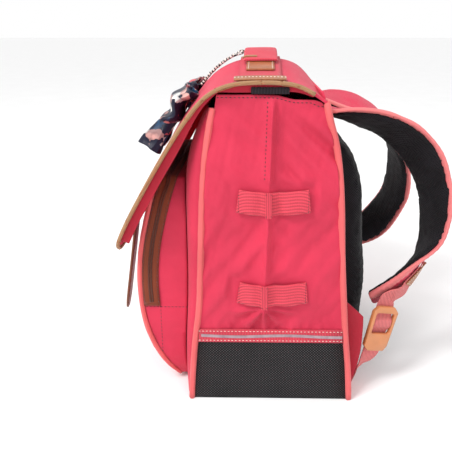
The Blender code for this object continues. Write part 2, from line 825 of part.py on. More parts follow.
def build_handle(finishes):
    """Webbing strip, leather tips and anchors, and the grip."""
    def on_flap(x, y, lift):
        return flap_point(flap_place(y), x, lift)

    def band(name, x_from, x_to, steps, width, lift, thickness, finish):
        rings = []
        for step in range(steps + 1):
            x = x_from + (x_to - x_from) * step / steps
            rear, fore = HANDLE_CENTRE + width / 2, HANDLE_CENTRE - width / 2
            rings.append([on_flap(x, rear, lift), on_flap(x, HANDLE_CENTRE, lift), on_flap(x, fore, lift),
                          on_flap(x, fore, lift + thickness), on_flap(x, HANDLE_CENTRE, lift + thickness),
                          on_flap(x, rear, lift + thickness)])
        return loft(name, rings, finish)

    strip_end = FLAP_HALF - TIP_LENGTH - GAP
    band("handle_base_strip", -strip_end, strip_end, 20, BASE_STRIP_WIDTH, SEAT, BASE_STRIP_THICKNESS,
         finishes["webbing"])
    anchor_lift = SEAT + BASE_STRIP_THICKNESS + GAP
    grip_lift = anchor_lift + ANCHOR_THICKNESS + GAP
    for side, word in ((1, "right"), (-1, "left")):
        band(f"handle_tip_{word}", side * (FLAP_HALF - TIP_LENGTH), side * (FLAP_HALF - GAP), 1, TIP_WIDTH,
             SEAT, BASE_STRIP_THICKNESS, finishes["tan"])
        band(f"handle_anchor_{word}", side * ANCHOR_INNER, side * ANCHOR_OUTER, 5, ANCHOR_WIDTH,
             anchor_lift, ANCHOR_THICKNESS, finishes["brown"])
    rings = []
    steps = 16
    section = ((-0.50, 0.10), (-0.46, 0.80), (-0.34, 1.00), (0.34, 1.00), (0.46, 0.80), (0.50, 0.10),
               (0.40, 0.00), (-0.40, 0.00))
    for step in range(steps + 1):
        x = GRIP_HALF_LENGTH * (2 * step / steps - 1)
        under = on_flap(x, HANDLE_CENTRE, grip_lift).z
        level = under + GRIP_RISE * math.cos(math.pi / 2 * x / GRIP_HALF_LENGTH) ** 2
        rings.append([Vector((x, HANDLE_CENTRE + GRIP_WIDTH * a, level + GRIP_THICKNESS * b))
                      for a, b in section])
    loft("handle_grip", rings, finishes["webbing"])


def build_scarf(finishes):
    """Bow on the front of the flap: knot, loops, fluted tails and the cord to the handle."""
    cloth = finishes["scarf"]
    row = flap_place(-SCARF_PLACE)
    normal = flap_normal(row)
    down = Vector((0, -normal.z, normal.y))
    knot = flap_point(row, 0.0, SEAT + KNOT_RADIUS * KNOT_FLATNESS)
    rings = []
    for step in range(7):
        share = 2 * step / 6 - 1
        radius = KNOT_RADIUS * (1.0 - 0.42 * share * share)
        ring = []
        for turn in range(8):
            angle = 2 * math.pi * turn / 8
            ring.append(knot + Vector((KNOT_RADIUS * share, 0, 0)) + down * radius * math.sin(angle)
                        + normal * radius * KNOT_FLATNESS * math.cos(angle))
        rings.append(ring)
    loft("scarf_knot", rings, cloth)

    droop = math.radians(SCARF_LOOP_DROOP)
    neck = 3 * SCARF_CLOTH
    knot_lift = KNOT_RADIUS * KNOT_FLATNESS
    tail_start = 0.95 * KNOT_RADIUS * normal.z
    for side, word in ((1, "right"), (-1, "left")):
        along = Vector((side * math.cos(droop), 0, 0)) + down * math.sin(droop) - normal * SCARF_LOOP_SINK
        along.normalize()
        wide = along.cross(normal).normalized() * side
        root = knot + Vector((side * (KNOT_RADIUS + SCARF_CLOTH), 0, 0))
        points, sides, widths = [], [], []
        steps = 14
        for step in range(steps + 1):
            share = step / steps
            arch = math.sin(math.pi * share)
            lift = -SCARF_LOOP_FULLNESS * math.cos(math.pi * share) * arch ** 0.6
            lift += neck * arch + SCARF_CLOTH * (2 * share - 1) * 1.3
            points.append(root + along * SCARF_LOOP_LENGTH * arch ** 0.85 + normal * lift)
            sides.append(wide)
            widths.append(SCARF_LOOP_WIDTH * (0.26 + 0.74 * arch ** 0.7))
        ribbon(f"scarf_loop_{word}", points, sides, widths, SCARF_CLOTH, cloth)

        def tail(across, up, side=side):
            angle = 2 * math.pi * across
            radius = SCARF_TAIL_RADIUS * (0.30 + 0.70 * up ** 0.8)
            radius *= 1 + 0.24 * up * math.cos(SCARF_FLUTES * angle)
            lift = knot_lift + (SCARF_TAIL_LIFT - knot_lift) * up
            apart = (0.42 + 0.58 * up) * SCARF_TAIL_SPREAD
            place = flap_place(-SCARF_PLACE - tail_start - SCARF_TAIL_RUN * up)
            flat = min(radius, apart - SCARF_CLOTH / 2)
            return (flap_point(place, side * apart, lift + radius * math.cos(angle))
                    + Vector((side * flat * math.sin(angle), 0, 0)))

        sheet(f"scarf_tail_{word}", 5, 12, tail, SCARF_CLOTH, cloth, flip=side > 0, ring=True)

    end_y = HANDLE_CENTRE - GRIP_WIDTH / 2 - SCARF_CORD_RADIUS - 2 * SEAT
    points = []
    steps = 7
    for step in range(steps):
        share = step / steps
        y = CORD_START + (end_y - CORD_START) * share
        x = CORD_SPREAD * (0.4 + 0.6 * share)
        points.append(flap_point(flap_place(y), x, SCARF_CORD_RADIUS + GAP / 2 + GRIP_CLEAR * share ** 2))
    top = flap_point(flap_place(end_y), 0.0, GRIP_CLEAR).z
    arch = [math.pi * (step + 0.5) / 6 for step in range(6)]
    points += [Vector((CORD_SPREAD * math.cos(angle), end_y, top + CORD_ARCH * math.sin(angle)))
               for angle in arch]
    points += [Vector((-point.x, point.y, point.z)) for point in reversed(points[:steps])]
    tube("scarf_cord", points, SCARF_CORD_RADIUS, 6, finishes["cord"], guide=Vector((0, -0.5, 0.86)))


def build_closures(finishes):
    """Leather closure straps that hang from under the flap's lower edge."""
    last = len(FLAP_SECTIONS) - 1
    under = FLAP_THICKNESS / 2 + BINDING_RADIUS + CLOSURE_THICKNESS + SEAT
    for side, word in ((1, "right"), (-1, "left")):
        x = side * CLOSURE_OFFSET
        points = [flap_point(place, x, -under) for place in (last - 1.6, last - 0.8, last - 0.2)]
        foot = points[-1]
        for share in (0.18, 0.36, 0.54, 0.70, 0.82, 0.90):
            drop = CLOSURE_LENGTH * share
            points.append(foot + Vector((0, -CLOSURE_LEAN * drop, -drop)))
        across = [Vector((1, 0, 0))] * len(points)
        widths = [CLOSURE_WIDTH] * (len(points) - 2) + [CLOSURE_WIDTH * 0.86, CLOSURE_WIDTH * 0.40]
        ribbon(f"closure_strap_{word}", points, across, widths, CLOSURE_THICKNESS, finishes["brown"])


def build_side_loops(finishes):
    """Elastic webbing loops with their keepers on the pleat."""
    steps = 16
    for side, word in ((1, "right"), (-1, "left")):
        for level, height in (("upper", UPPER_LOOP_HEIGHT), ("lower", LOWER_LOOP_HEIGHT)):
            crest = pleat_line(height)
            samples = [height + ELASTIC_WIDTH * (row / 8 - 0.5) - LOOP_SAG / 2 for row in range(9)]
            points, widths = [], []
            for step in range(steps + 1):
                share = step / steps
                part = share * 2 if share <= 0.5 else share * 2 - 1
                y_from, y_to = (LOOP_START, crest) if share <= 0.5 else (crest, LOOP_START + LOOP_LENGTH)
                y = y_from + (y_to - y_from) * part
                base = max(side_relief(y, z) for z in samples)
                lift = SEAT + LOOP_STANDOFF * math.sin(math.pi * part) ** 2
                z = height - LOOP_SAG * math.sin(math.pi * share)
                points.append(Vector((side * (HALF + base + lift), y, z)))
                widths.append(ELASTIC_WIDTH)
            if side > 0:
                across = [Vector((0, 0, 1))] * len(points)
            else:
                across = [Vector((0, 0, -1))] * len(points)
            ribbon(f"side_loop_{level}_{word}", points, across, widths, ELASTIC_THICKNESS,
                   finishes["webbing"])
            middle = points[steps // 2]
            face = middle.x + side * (ELASTIC_THICKNESS + GAP + SEAT)
            outline = [Vector((face, crest + KEEPER_WIDTH * a, middle.z + (ELASTIC_WIDTH / 2 + 0.0015) * b))
                       for a, b in ((-0.5, -1), (0.5, -1), (0.5, 1), (-0.5, 1))]
            plate(f"keeper_{level}_{word}", outline, Vector((side * WEBBING_THICKNESS, 0, 0)),
                  finishes["webbing"])


def build_back_pad(finishes):
    """Padded mesh panel on the back."""
    rings = []
    turns = 10
    for section in PAD_SECTIONS:
        row = dict(zip(PAD_COLUMNS, section))
        z = row["height"] * HEIGHT
        thickness = row["thickness"] * PAD_THICKNESS
        half = row["width"] * PAD_WIDTH / 2
        seat = back_seam(z) + SEAT
        ring = [Vector((half, seat, z)), Vector((0, seat, z)), Vector((-half, seat, z))]
        for turn in range(1, turns):
            angle = math.pi * (1 - turn / turns)
            x = half * signed_power(math.cos(angle), 2 / PAD_SQUARENESS)
            ring.append(Vector((x, seat + thickness * math.sin(angle) ** 0.7, z)))
        rings.append(ring)
    loft("back_pad", rings, finishes["mesh"])


def strap_frames(side):
    """Middle points of a shoulder strap with its width and outward directions."""
    last = len(STRAP_SECTIONS) - 1
    steps = 22

    def value(key, place):
        return row_value(STRAP_SECTIONS, STRAP_COLUMNS.index(key), place)

    places = [last * step / steps for step in range(steps + 1)]
    points = [Vector((side * HALF * value("across", place), STRAP_REACH * value("reach", place),
                      HEIGHT * value("height", place))) for place in places]
    twist_key = "twist_right" if side > 0 else "twist_left"
    frames = []
    for place, point, ahead in zip(places, points, directions(points)):
        level = Vector((side, 0, 0))
        level = (level - level.dot(ahead) * ahead).normalized()
        turn = Matrix.Rotation(-side * math.radians(value(twist_key, place)), 3, ahead)
        across = turn @ level
        out = turn @ (level.cross(ahead) * side)
        frames.append((point, across, out, ahead, STRAP_WIDTH * value("width", place)))
    return frames


def build_straps(finishes):
    """Padded shoulder straps with a mesh inner face."""
    shell = ((-0.50, 0.00), (-0.49, 0.60), (-0.42, 0.95), (0.00, 1.05), (0.42, 0.95), (0.49, 0.60),
             (0.50, 0.00), (0.17, 0.00), (-0.17, 0.00))
    inner = ((0.47, 0.00), (0.17, 0.00), (-0.17, 0.00), (-0.47, 0.00), (-0.40, -0.80), (0.00, -1.00),
             (0.40, -0.80))
    for side, word in ((1, "right"), (-1, "left")):
        frames = strap_frames(side)
        rings = [[p + across * width * a + out * STRAP_SHELL_THICKNESS * b for a, b in shell]
                 for p, across, out, ahead, width in frames]
        loft(f"shoulder_strap_{word}", rings, finishes["coral"])
        rings = [[p - out * SEAT + across * width * a + out * STRAP_MESH_THICKNESS * b for a, b in inner]
                 for p, across, out, ahead, width in frames]
        loft(f"strap_mesh_{word}", rings, finishes["mesh"])


def build_strap_fittings(finishes):
    """Leather patch, webbing, ladder buckle and wing at the foot of each strap."""
    for side, word in ((1, "right"), (-1, "left")):
        place = Vector((side * BUCKLE_PLACE[0], BUCKLE_PLACE[1], BUCKLE_PLACE[2]))
        turn = math.radians(BUCKLE_TURN)
        tilt = math.radians(BUCKLE_TILT)
        level = Vector((-side * math.sin(turn), math.cos(turn), 0.0))
        face = Vector((side * math.cos(turn), math.sin(turn), 0.0))
        wide = level * math.cos(tilt) - Vector((0, 0, math.sin(tilt)))
        tall = level * math.sin(tilt) + Vector((0, 0, math.cos(tilt)))
        half = BUCKLE_WIDTH / 2
        top = BUCKLE_LENGTH / 2
        window_top = top - BUCKLE_TOP_BAR
        window_foot = window_top - BUCKLE_WINDOW

        def at(w, h, d, place=place, wide=wide, tall=tall, face=face):
            return place + wide * w + tall * h + face * d

        cut = BUCKLE_CORNER
        outer = [(-half, -top + cut), (-half, top - cut), (-half + cut, top), (half - cut, top),
                 (half, top - cut), (half - BUCKLE_LIP, -top + cut), (half - cut, -top), (cut - half, -top)]
        clear = half - BUCKLE_BAR
        cut = WINDOW_CORNER
        hole = [(-clear, window_foot + cut), (-clear, window_top - cut), (cut - clear, window_top),
                (clear - cut, window_top), (clear, window_top - cut), (clear, window_foot + cut),
                (clear - cut, window_foot), (cut - clear, window_foot)]
        rings = [[at(w, h, 0) for w, h in outer], [at(w, h, BUCKLE_THICKNESS) for w, h in outer],
                 [at(w, h, BUCKLE_THICKNESS) for w, h in hole], [at(w, h, 0) for w, h in hole]]
        loft(f"buckle_{word}", rings, finishes["buckle"], closed=True)

        lift = STRAP_SHELL_THICKNESS * 1.05 + GAP + SEAT
        behind = -WEBBING_THICKNESS - 1.5 * GAP
        inside = (BUCKLE_THICKNESS - WEBBING_THICKNESS) * 0.8
        on_strap = strap_frames(side)[PATCH_FRAME:PATCH_FRAME + 3]
        points = [point + out * lift for point, across, out, ahead, width in on_strap]
        turns = [across * -side for point, across, out, ahead, width in on_strap]
        leaving = on_strap[-1]
        entry = at(0, top + 4 * SEAT, behind)
        reach = (entry - points[-1]).length
        bends = [points[-1], points[-1] + leaving[3] * reach * 0.35 + leaving[2] * reach * 0.30,
                 entry + tall * reach * 0.42 + face * behind, entry]
        first_turn = turns[-1]
        steps = 6
        for step in range(1, steps + 1):
            share = step / steps
            rest = 1 - share
            points.append(bends[0] * rest ** 3 + bends[1] * 3 * rest * rest * share
                          + bends[2] * 3 * rest * share * share + bends[3] * share ** 3)
            part = smooth_step(0.0, 1.0, share)
            turns.append((first_turn * (1 - part) + wide * side * part).normalized())
        edge = WEBBING_THICKNESS + SEAT
        points += [at(0, window_top - edge / 2, behind), at(0, window_top - 3 * edge, 0.0),
                   at(0, window_top - 5 * edge, inside), at(0, window_foot + 5 * edge, inside),
                   at(0, window_foot + 3 * edge, 0.0), at(0, window_foot + edge / 2, behind),
                   at(0, window_foot - edge, behind)]
        turns += [wide * side] * 7
        ribbon(f"upper_webbing_{word}", points, turns, [STRAP_WEBBING_WIDTH] * len(points),
               WEBBING_THICKNESS, finishes["webbing"])

        patch_lift = lift + WEBBING_THICKNESS + SEAT
        points = [point + out * patch_lift for point, across, out, ahead, width in on_strap]
        ribbon(f"strap_patch_{word}", points, turns[:3], [PATCH_WIDTH] * 3, PATCH_THICKNESS, finishes["tan"])

        points = [at(0, -top * 0.55, behind), at(0, -top - SEAT, behind)]
        foot = Vector((side * LOWER_WEBBING_FOOT, back_seam(FOOT_HEIGHT) + 2 * SEAT, FOOT_HEIGHT))
        bends = [points[-1], points[-1] - tall * FOOT_BEND, foot + Vector((0, FOOT_LEAN, FOOT_BEND)), foot]
        turns = [wide * side] * 2
        for step in range(1, steps + 1):
            share = step / steps
            rest = 1 - share
            points.append(bends[0] * rest ** 3 + bends[1] * 3 * rest * rest * share
                          + bends[2] * 3 * rest * share * share + bends[3] * share ** 3)
            part = smooth_step(0.0, 1.0, share)
            turns.append((wide * side * (1 - part) - Vector((part, 0, 0))).normalized())
        ribbon(f"lower_webbing_{word}", points, turns, [STRAP_WEBBING_WIDTH] * len(points),
               WEBBING_THICKNESS, finishes["webbing"])

        wing = []
        for height, reach in WING_OUTLINE:
            z = height * HEIGHT
            wing.append(Vector((side * WING_PLANE, back_seam(z) + SEAT + WING_REACH * reach, z)))
        plate(f"wing_{word}", wing, Vector((side * WING_THICKNESS, 0, 0)), finishes["coral"])


def main():
    """Build every piece of the ransel."""
    clear_scene()
    finishes = {
        "coral": material("coral_cloth", (0.79, 0.053, 0.115)),
        "coral_lip": material("coral_lip", (0.72, 0.030, 0.085)),
        "piping": material("light_piping", (0.90, 0.20, 0.20)),
        "webbing": material("coral_webbing", (0.86, 0.12, 0.16)),
        "base_mesh": material("black_base", (0.040, 0.034, 0.036)),
        "mesh": material("black_mesh", (0.010, 0.009, 0.010)),
        "black": material("black_webbing", (0.012, 0.008, 0.010)),
        "binding": material("tan_binding", (0.70, 0.45, 0.23), 0.6),
        "tan": material("tan_leather", (0.60, 0.25, 0.10), 0.5),
        "brown": material("brown_leather", (0.45, 0.14, 0.04), 0.5),
        "zip": material("zip_tape", (0.38, 0.08, 0.03), 0.7),
        "buckle": material("buckle_plastic", (0.62, 0.28, 0.11), 0.4),
        "scarf": material("scarf_satin", (0.015, 0.018, 0.06), 0.4),
        "cord": material("speckled_cord", (0.25, 0.25, 0.25)),
    }
    build_bag(finishes)
    build_pocket(finishes)
    build_flap(finishes)
    build_handle(finishes)
    build_scarf(finishes)
    build_closures(finishes)
    build_side_loops(finishes)
    build_back_pad(finishes)
    build_straps(finishes)
    build_strap_fittings(finishes)


main()
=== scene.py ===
"""Looks of the school ransel: cloth, leather, webbing, mesh, satin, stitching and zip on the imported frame."""

import math

import bmesh
import bpy
import numpy as np
from mathutils import Matrix, Vector, noise
from mathutils.bvhtree import BVHTree


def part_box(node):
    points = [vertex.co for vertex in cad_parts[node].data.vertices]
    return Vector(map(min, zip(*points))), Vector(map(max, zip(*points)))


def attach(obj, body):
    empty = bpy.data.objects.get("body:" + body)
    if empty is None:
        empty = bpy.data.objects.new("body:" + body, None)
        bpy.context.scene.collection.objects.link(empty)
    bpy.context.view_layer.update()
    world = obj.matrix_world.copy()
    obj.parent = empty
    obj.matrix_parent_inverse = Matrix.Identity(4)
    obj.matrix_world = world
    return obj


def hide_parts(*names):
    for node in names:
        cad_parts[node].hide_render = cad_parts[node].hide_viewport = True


bl_info = {
    "name": "School ransel",
    "version": (1, 0, 0),
    "blender": (4, 5, 0),
    "location": "View3D > Sidebar > Ransel",
    "description": "Dresses the school ransel in cloth, leather, webbing, mesh and satin, with its stitching",
    "category": "Object",
}

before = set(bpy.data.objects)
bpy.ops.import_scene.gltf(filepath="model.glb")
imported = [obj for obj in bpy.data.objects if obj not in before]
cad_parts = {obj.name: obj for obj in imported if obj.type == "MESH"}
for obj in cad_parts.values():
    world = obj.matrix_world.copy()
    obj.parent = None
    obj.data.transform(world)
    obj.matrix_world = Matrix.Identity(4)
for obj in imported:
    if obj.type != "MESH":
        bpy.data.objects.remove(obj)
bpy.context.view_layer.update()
SIDES = ((1, "right"), (-1, "left"))
FINISH_ENDING = "_finish"

# Shapes that the scene repeats from the frame, in metres.
POCKET_CORNER = 0.021
PLEAT_LEAN = 0.008
PLEAT_FOOT = 0.116
PLEAT_WIDTH = 0.0026
PLEAT_RIDGE = 0.0022
PLEAT_VALLEY = 0.0020
PLEAT_SHIFT = 0.0055
BAG_TOP = 0.353
FAN_TOP = 0.120
STRAP_MIDDLE = (0.09, 0.21)
STRAP_BAND = 0.0045

FLOOR_LEVEL = -0.0004

# Where runs are looked for from, and the longest edges of cloth that takes wrinkles.
LOOK_FROM_SIDE = 0.2
LOOK_FROM_ABOVE = 0.42
SIDE_GRAIN = 0.0036
GUSSET_GRAIN = 0.005
CLOTH_GRAIN = 0.006

# Step, length and width of the stitches of each seam that has its own.
STITCHES = {
    "side_seam_stitches": (0.0042, 0.0025, 0.0012),
    "zip_stitches": (0.0042, 0.0025, 0.0010),
    "gusset_stitches": (0.0042, 0.0025, 0.0011),
    "binding_stitches": (0.0032, 0.0018, 0.0005),
    "strip_stitches": (0.0034, 0.0020, 0.0014),
    "leather_stitches": (0.0034, 0.0022, 0.0007),
    "closure_stitches": (0.0036, 0.0022, 0.0007),
    "loop_stitches": (0.0028, 0.0019, 0.0007),
    "patch_stitches": (0.0030, 0.0019, 0.0008),
}

# Camera of the photograph: place, pitch and yaw, and the shift of its frame.
CAMERA_PLACE = Vector((0.685, -0.0115, 0.4148))
CAMERA_PITCH = math.radians(16.0)
CAMERA_YAW = math.radians(1.0)
CAMERA_SENSOR = 36.0
CAMERA_LENS = 540.0 / 452.0 * CAMERA_SENSOR
CAMERA_SHIFT = (-0.058, -0.0911)


def colour_property(name, description, default):
    """A colour that a user may change."""
    return bpy.props.FloatVectorProperty(name=name, description=description, default=default, size=3,
                                         min=0.0, max=1.0, subtype="COLOR")


def length_property(name, description, default):
    """A length that a user may change."""
    return bpy.props.FloatProperty(name=name, description=description, default=default, min=0.0,
                                   subtype="DISTANCE", unit="LENGTH")


class RanselColours(bpy.types.PropertyGroup):
    """Colours of the cloths and fittings."""

    coral: colour_property("Coral cloth", "Main cloth", (0.61, 0.032, 0.076))
    lip: colour_property("Flap lip", "Folded lip under the flap's edge", (0.44, 0.014, 0.034))
    piping: colour_property("Piping", "Cloth of the corner and pocket pipings", (0.74, 0.125, 0.13))
    webbing: colour_property("Webbing", "Coral webbing and elastic", (0.64, 0.056, 0.088))
    strap_edge: colour_property("Strap edge", "Light edge band of the shoulder straps", (0.74, 0.19, 0.19))
    base: colour_property("Base cloth", "Dark cloth of the base", (0.005, 0.0045, 0.005))
    mesh: colour_property("Mesh", "Black spacer mesh of the pads", (0.0045, 0.004, 0.005))
    binding: colour_property("Binding", "Tan binding of the flap's edge", (0.40, 0.215, 0.105))
    tan: colour_property("Tan leather", "Leather tips and patches", (0.40, 0.140, 0.045))
    brown: colour_property("Brown leather", "Handle anchors and closure straps", (0.42, 0.125, 0.035))
    zip_tape: colour_property("Zip tape", "Brown zip tape", (0.22, 0.045, 0.018))
    buckle: colour_property("Buckle", "Moulded ladder buckle", (0.58, 0.22, 0.085))
    navy: colour_property("Scarf navy", "Ground of the scarf's satin", (0.003, 0.004, 0.018))
    teal: colour_property("Scarf teal", "Edge colour of the scarf's satin", (0.006, 0.055, 0.13))
    blush: colour_property("Scarf blush", "Light print of the scarf's satin", (0.62, 0.34, 0.30))
    thread: colour_property("Thread", "Pale sewing thread", (0.82, 0.70, 0.62))
    dark_thread: colour_property("Dark thread", "Sewing thread in the coral cloth", (0.09, 0.004, 0.012))
    floor: colour_property("Floor", "Floor and backdrop", (0.94, 0.94, 0.94))


class RanselSizes(bpy.types.PropertyGroup):
    """Sizes of the weave, the stitches and the trims."""

    weave: length_property("Weave pitch", "Distance between threads of the coral cloth", 0.0007)
    base_dots: length_property("Base dot pitch", "Distance between dots of the base cloth", 0.0033)
    mesh_cells: length_property("Mesh cell pitch", "Distance between cells of the spacer mesh", 0.0030)
    elastic_rib: length_property("Elastic rib pitch", "Distance between ribs of the elastic", 0.0034)
    webbing_rib: length_property("Webbing rib pitch", "Distance between ribs of the webbing", 0.0018)
    stitch: length_property("Stitch length", "Length of a stitch", 0.0024)
    stitch_step: length_property("Stitch step", "Distance between stitches", 0.0040)
    thread: length_property("Thread width", "Width of a stitch", 0.0007)
    tooth_step: length_property("Tooth step", "Distance between zip teeth", 0.0016)
    wrinkle: length_property("Wrinkle depth", "Depth of the fine wrinkles of the cloth", 0.0010)
    puff_voxel: length_property("Pad voxel", "Voxel of the padded pieces before they are inflated", 0.0050)


def colours():
    """The colours in the scene's settings."""
    return bpy.context.scene.ransel_colours


def sizes():
    """The sizes in the scene's settings."""
    return bpy.context.scene.ransel_sizes


class Finish:
    """One material's node tree, with short calls for the nodes that the finishes share."""

    def __init__(self, name, roughness, sheen=0.0, specular=0.5, coat=0.0):
        self.material = bpy.data.materials.new(name + FINISH_ENDING)
        self.material.use_nodes = True
        self.tree = self.material.node_tree
        self.shader = self.tree.nodes["Principled BSDF"]
        self.shader.inputs["Roughness"].default_value = roughness
        self.shader.inputs["Sheen Weight"].default_value = sheen
        self.shader.inputs["Sheen Roughness"].default_value = 0.45
        self.shader.inputs["Specular IOR Level"].default_value = specular
        self.shader.inputs["Coat Weight"].default_value = coat

    def node(self, kind, **settings):
        """A new node with its properties set."""
        made = self.tree.nodes.new(kind)
        for key, value in settings.items():
            setattr(made, key, value)
        return made

    def link(self, source, target):
        """Joins a value to a socket, or sets the socket to a plain number."""
        if isinstance(source, (int, float)):
            target.default_value = source
        else:
            self.tree.links.new(source, target)

    def maths(self, operation, first, second=0.0):
        """One Math node."""
        made = self.node("ShaderNodeMath", operation=operation)
        self.link(first, made.inputs[0])
        self.link(second, made.inputs[1])
        return made.outputs[0]

    def surface(self):
        """Across and along the piece's own surface, in metres, from its UV map."""
        uv = self.node("ShaderNodeUVMap", uv_map="surface")
        parts = self.node("ShaderNodeSeparateXYZ")
        self.tree.links.new(uv.outputs["UV"], parts.inputs[0])
        return parts.outputs[0], parts.outputs[1]

    def place(self):
        """Object coordinates, in metres."""
        return self.node("ShaderNodeTexCoord").outputs["Object"]

    def noise(self, scale, detail=3.0, roughness=0.55, vector=None):
        """A noise value from 0 to 1."""
        made = self.node("ShaderNodeTexNoise")
        self.tree.links.new(vector or self.place(), made.inputs["Vector"])
        made.inputs["Scale"].default_value = scale
        made.inputs["Detail"].default_value = detail
        made.inputs["Roughness"].default_value = roughness
        return made.outputs["Fac"]

    def wave(self, along, pitch):
        """A sine wave from 0 to 1 with the pitch given in metres."""
        turned = self.maths("MULTIPLY", along, 2 * math.pi / pitch)
        return self.maths("MULTIPLY_ADD", self.maths("SINE", turned), 0.5)

    def ramp(self, value, stops):
        """A colour ramp through (place, colour) stops."""
        made = self.node("ShaderNodeValToRGB")
        elements = made.color_ramp.elements
        while len(elements) < len(stops):
            elements.new(0.5)
        for element, (place, colour) in zip(elements, stops):
            element.position = place
            element.color = (*colour, 1.0)
        self.tree.links.new(value, made.inputs["Fac"])
        return made.outputs["Color"]

    def mix(self, share, first, second):
        """A mix of two colours, each a socket or a plain colour."""
        made = self.node("ShaderNodeMix", data_type="RGBA")
        self.link(share, made.inputs["Factor"])
        for source, target in ((first, made.inputs["A"]), (second, made.inputs["B"])):
            if isinstance(source, bpy.types.NodeSocket):
                self.tree.links.new(source, target)
            else:
                target.default_value = (*source, 1.0)
        return made.outputs["Result"]

    def paint(self, colour):
        """Sets the base colour from a socket."""
        self.tree.links.new(colour, self.shader.inputs["Base Color"])

    def roughen(self, value, low, high):
        """Lets roughness run from low to high with a value from 0 to 1."""
        spread = self.node("ShaderNodeMapRange")
        spread.inputs["To Min"].default_value = low
        spread.inputs["To Max"].default_value = high
        self.tree.links.new(value, spread.inputs["Value"])
        self.tree.links.new(spread.outputs["Result"], self.shader.inputs["Roughness"])

    def bump(self, height, distance, strength=1.0):
        """Adds a bump of the height given, in metres, over any earlier one."""
        made = self.node("ShaderNodeBump")
        made.inputs["Distance"].default_value = distance
        made.inputs["Strength"].default_value = strength
        self.tree.links.new(height, made.inputs["Height"])
        normal = self.shader.inputs["Normal"]
        if normal.is_linked:
            self.tree.links.new(normal.links[0].from_socket, made.inputs["Normal"])
        self.tree.links.new(made.outputs["Normal"], normal)


def shade(colour, factor):
    """A darker or lighter copy of a colour."""
    return tuple(min(part * factor, 1.0) for part in colour)


def woven(name, colour, pitch, depth, roughness, sheen, specular=0.22, patchy=0.14):
    """A plain-woven cloth: threads over and under, with slow changes of tone and slight wear."""
    finish = Finish(name, roughness, sheen, specular)
    across, along = finish.surface()
    warp, weft = finish.wave(across, pitch), finish.wave(along, pitch)
    threads = finish.maths("ADD", finish.maths("MULTIPLY", warp, finish.maths("SUBTRACT", 1.0, weft)),
                           finish.maths("MULTIPLY", weft, finish.maths("SUBTRACT", 1.0, warp)))
    tone = finish.noise(14.0, 4.0)
    base = finish.ramp(tone, [(0.28, shade(colour, 1 - patchy)), (0.72, shade(colour, 1 + patchy))])
    finish.paint(finish.mix(finish.maths("MULTIPLY", threads, 0.22), base, shade(colour, 0.62)))
    finish.roughen(finish.noise(40.0), roughness - 0.08, roughness + 0.10)
    finish.bump(finish.noise(90.0, 4.0), 0.0009, 0.35)
    finish.bump(threads, depth, 0.6)
    return finish.material


def ribbed(name, colour, pitch, depth, roughness=0.72, along_piece=False, cross_pitch=0.0012,
           groove_shade_tone=0.55):
    """Webbing or elastic: ribs in one direction, crossed by finer threads, with painted shade in the grooves
    between the ribs and a painted highlight on the crests of the cross threads.
    """
    finish = Finish(name, roughness, 0.12, 0.22)
    across, along = finish.surface()
    if along_piece:
        across, along = along, across
    ribs = finish.wave(across, pitch)
    threads = finish.wave(along, cross_pitch)
    tone = finish.ramp(finish.noise(30.0), [(0.25, shade(colour, 0.85)), (0.75, shade(colour, 1.18))])
    # Painted shade: the grooves between the ribs, where the bump is low, are darkened.
    groove_shade = finish.ramp(ribs, [(0.0, (1.0, 1.0, 1.0)), (0.55, (0.0, 0.0, 0.0))])
    # Painted highlight: the crests of the cross threads are lightened over the random tone.
    tone_with_crest_highlight = finish.mix(finish.maths("MULTIPLY", threads, 0.25), tone, shade(colour, 1.45))
    finish.paint(finish.mix(groove_shade, tone_with_crest_highlight, shade(colour, groove_shade_tone)))
    finish.bump(threads, depth * 0.4, 0.6)
    finish.bump(ribs, depth, 0.9)
    return finish.material


def dotted_base(name, colour, pitch):
    """Dark base cloth with a staggered grid of small light dots."""
    finish = Finish(name, 0.62, 0.02, 0.18)
    across, along = finish.surface()
    grid = finish.maths("MULTIPLY", finish.wave(finish.maths("ADD", across, along), pitch),
                        finish.wave(finish.maths("SUBTRACT", across, along), pitch))
    dots = finish.ramp(grid, [(0.45, (0.0, 0.0, 0.0)), (0.80, (1.0, 1.0, 1.0))])
    ground = finish.ramp(finish.noise(22.0), [(0.3, shade(colour, 0.7)), (0.7, shade(colour, 1.9))])
    finish.paint(finish.mix(dots, ground, (0.11, 0.10, 0.105)))
    finish.bump(finish.noise(60.0, 3.0), 0.0012, 0.4)
    finish.bump(grid, 0.0006, 0.8)
    return finish.material


def spacer_mesh(name, colour, pitch):
    """Black spacer mesh: round cells in a staggered grid with raised threads between them, and painted shade
    darkening the cells.
    """
    finish = Finish(name, 0.60, 0.03, 0.14)
    across, along = finish.surface()
    cells = finish.maths("MULTIPLY", finish.wave(finish.maths("ADD", across, along), pitch),
                         finish.wave(finish.maths("SUBTRACT", across, along), pitch))
    # Painted shade: the sunken cells are darkened as if shaded inside.
    hole_shade = finish.ramp(cells, [(0.25, (0.0, 0.0, 0.0)), (0.60, (1.0, 1.0, 1.0))])
    ground = finish.ramp(finish.noise(35.0), [(0.3, shade(colour, 1.4)), (0.7, shade(colour, 3.6))])
    finish.paint(finish.mix(hole_shade, ground, shade(colour, 0.25)))
    finish.bump(finish.noise(120.0, 3.0), 0.0008, 0.5)
    finish.bump(finish.maths("SUBTRACT", 1.0, cells), 0.0011, 0.9)
    return finish.material


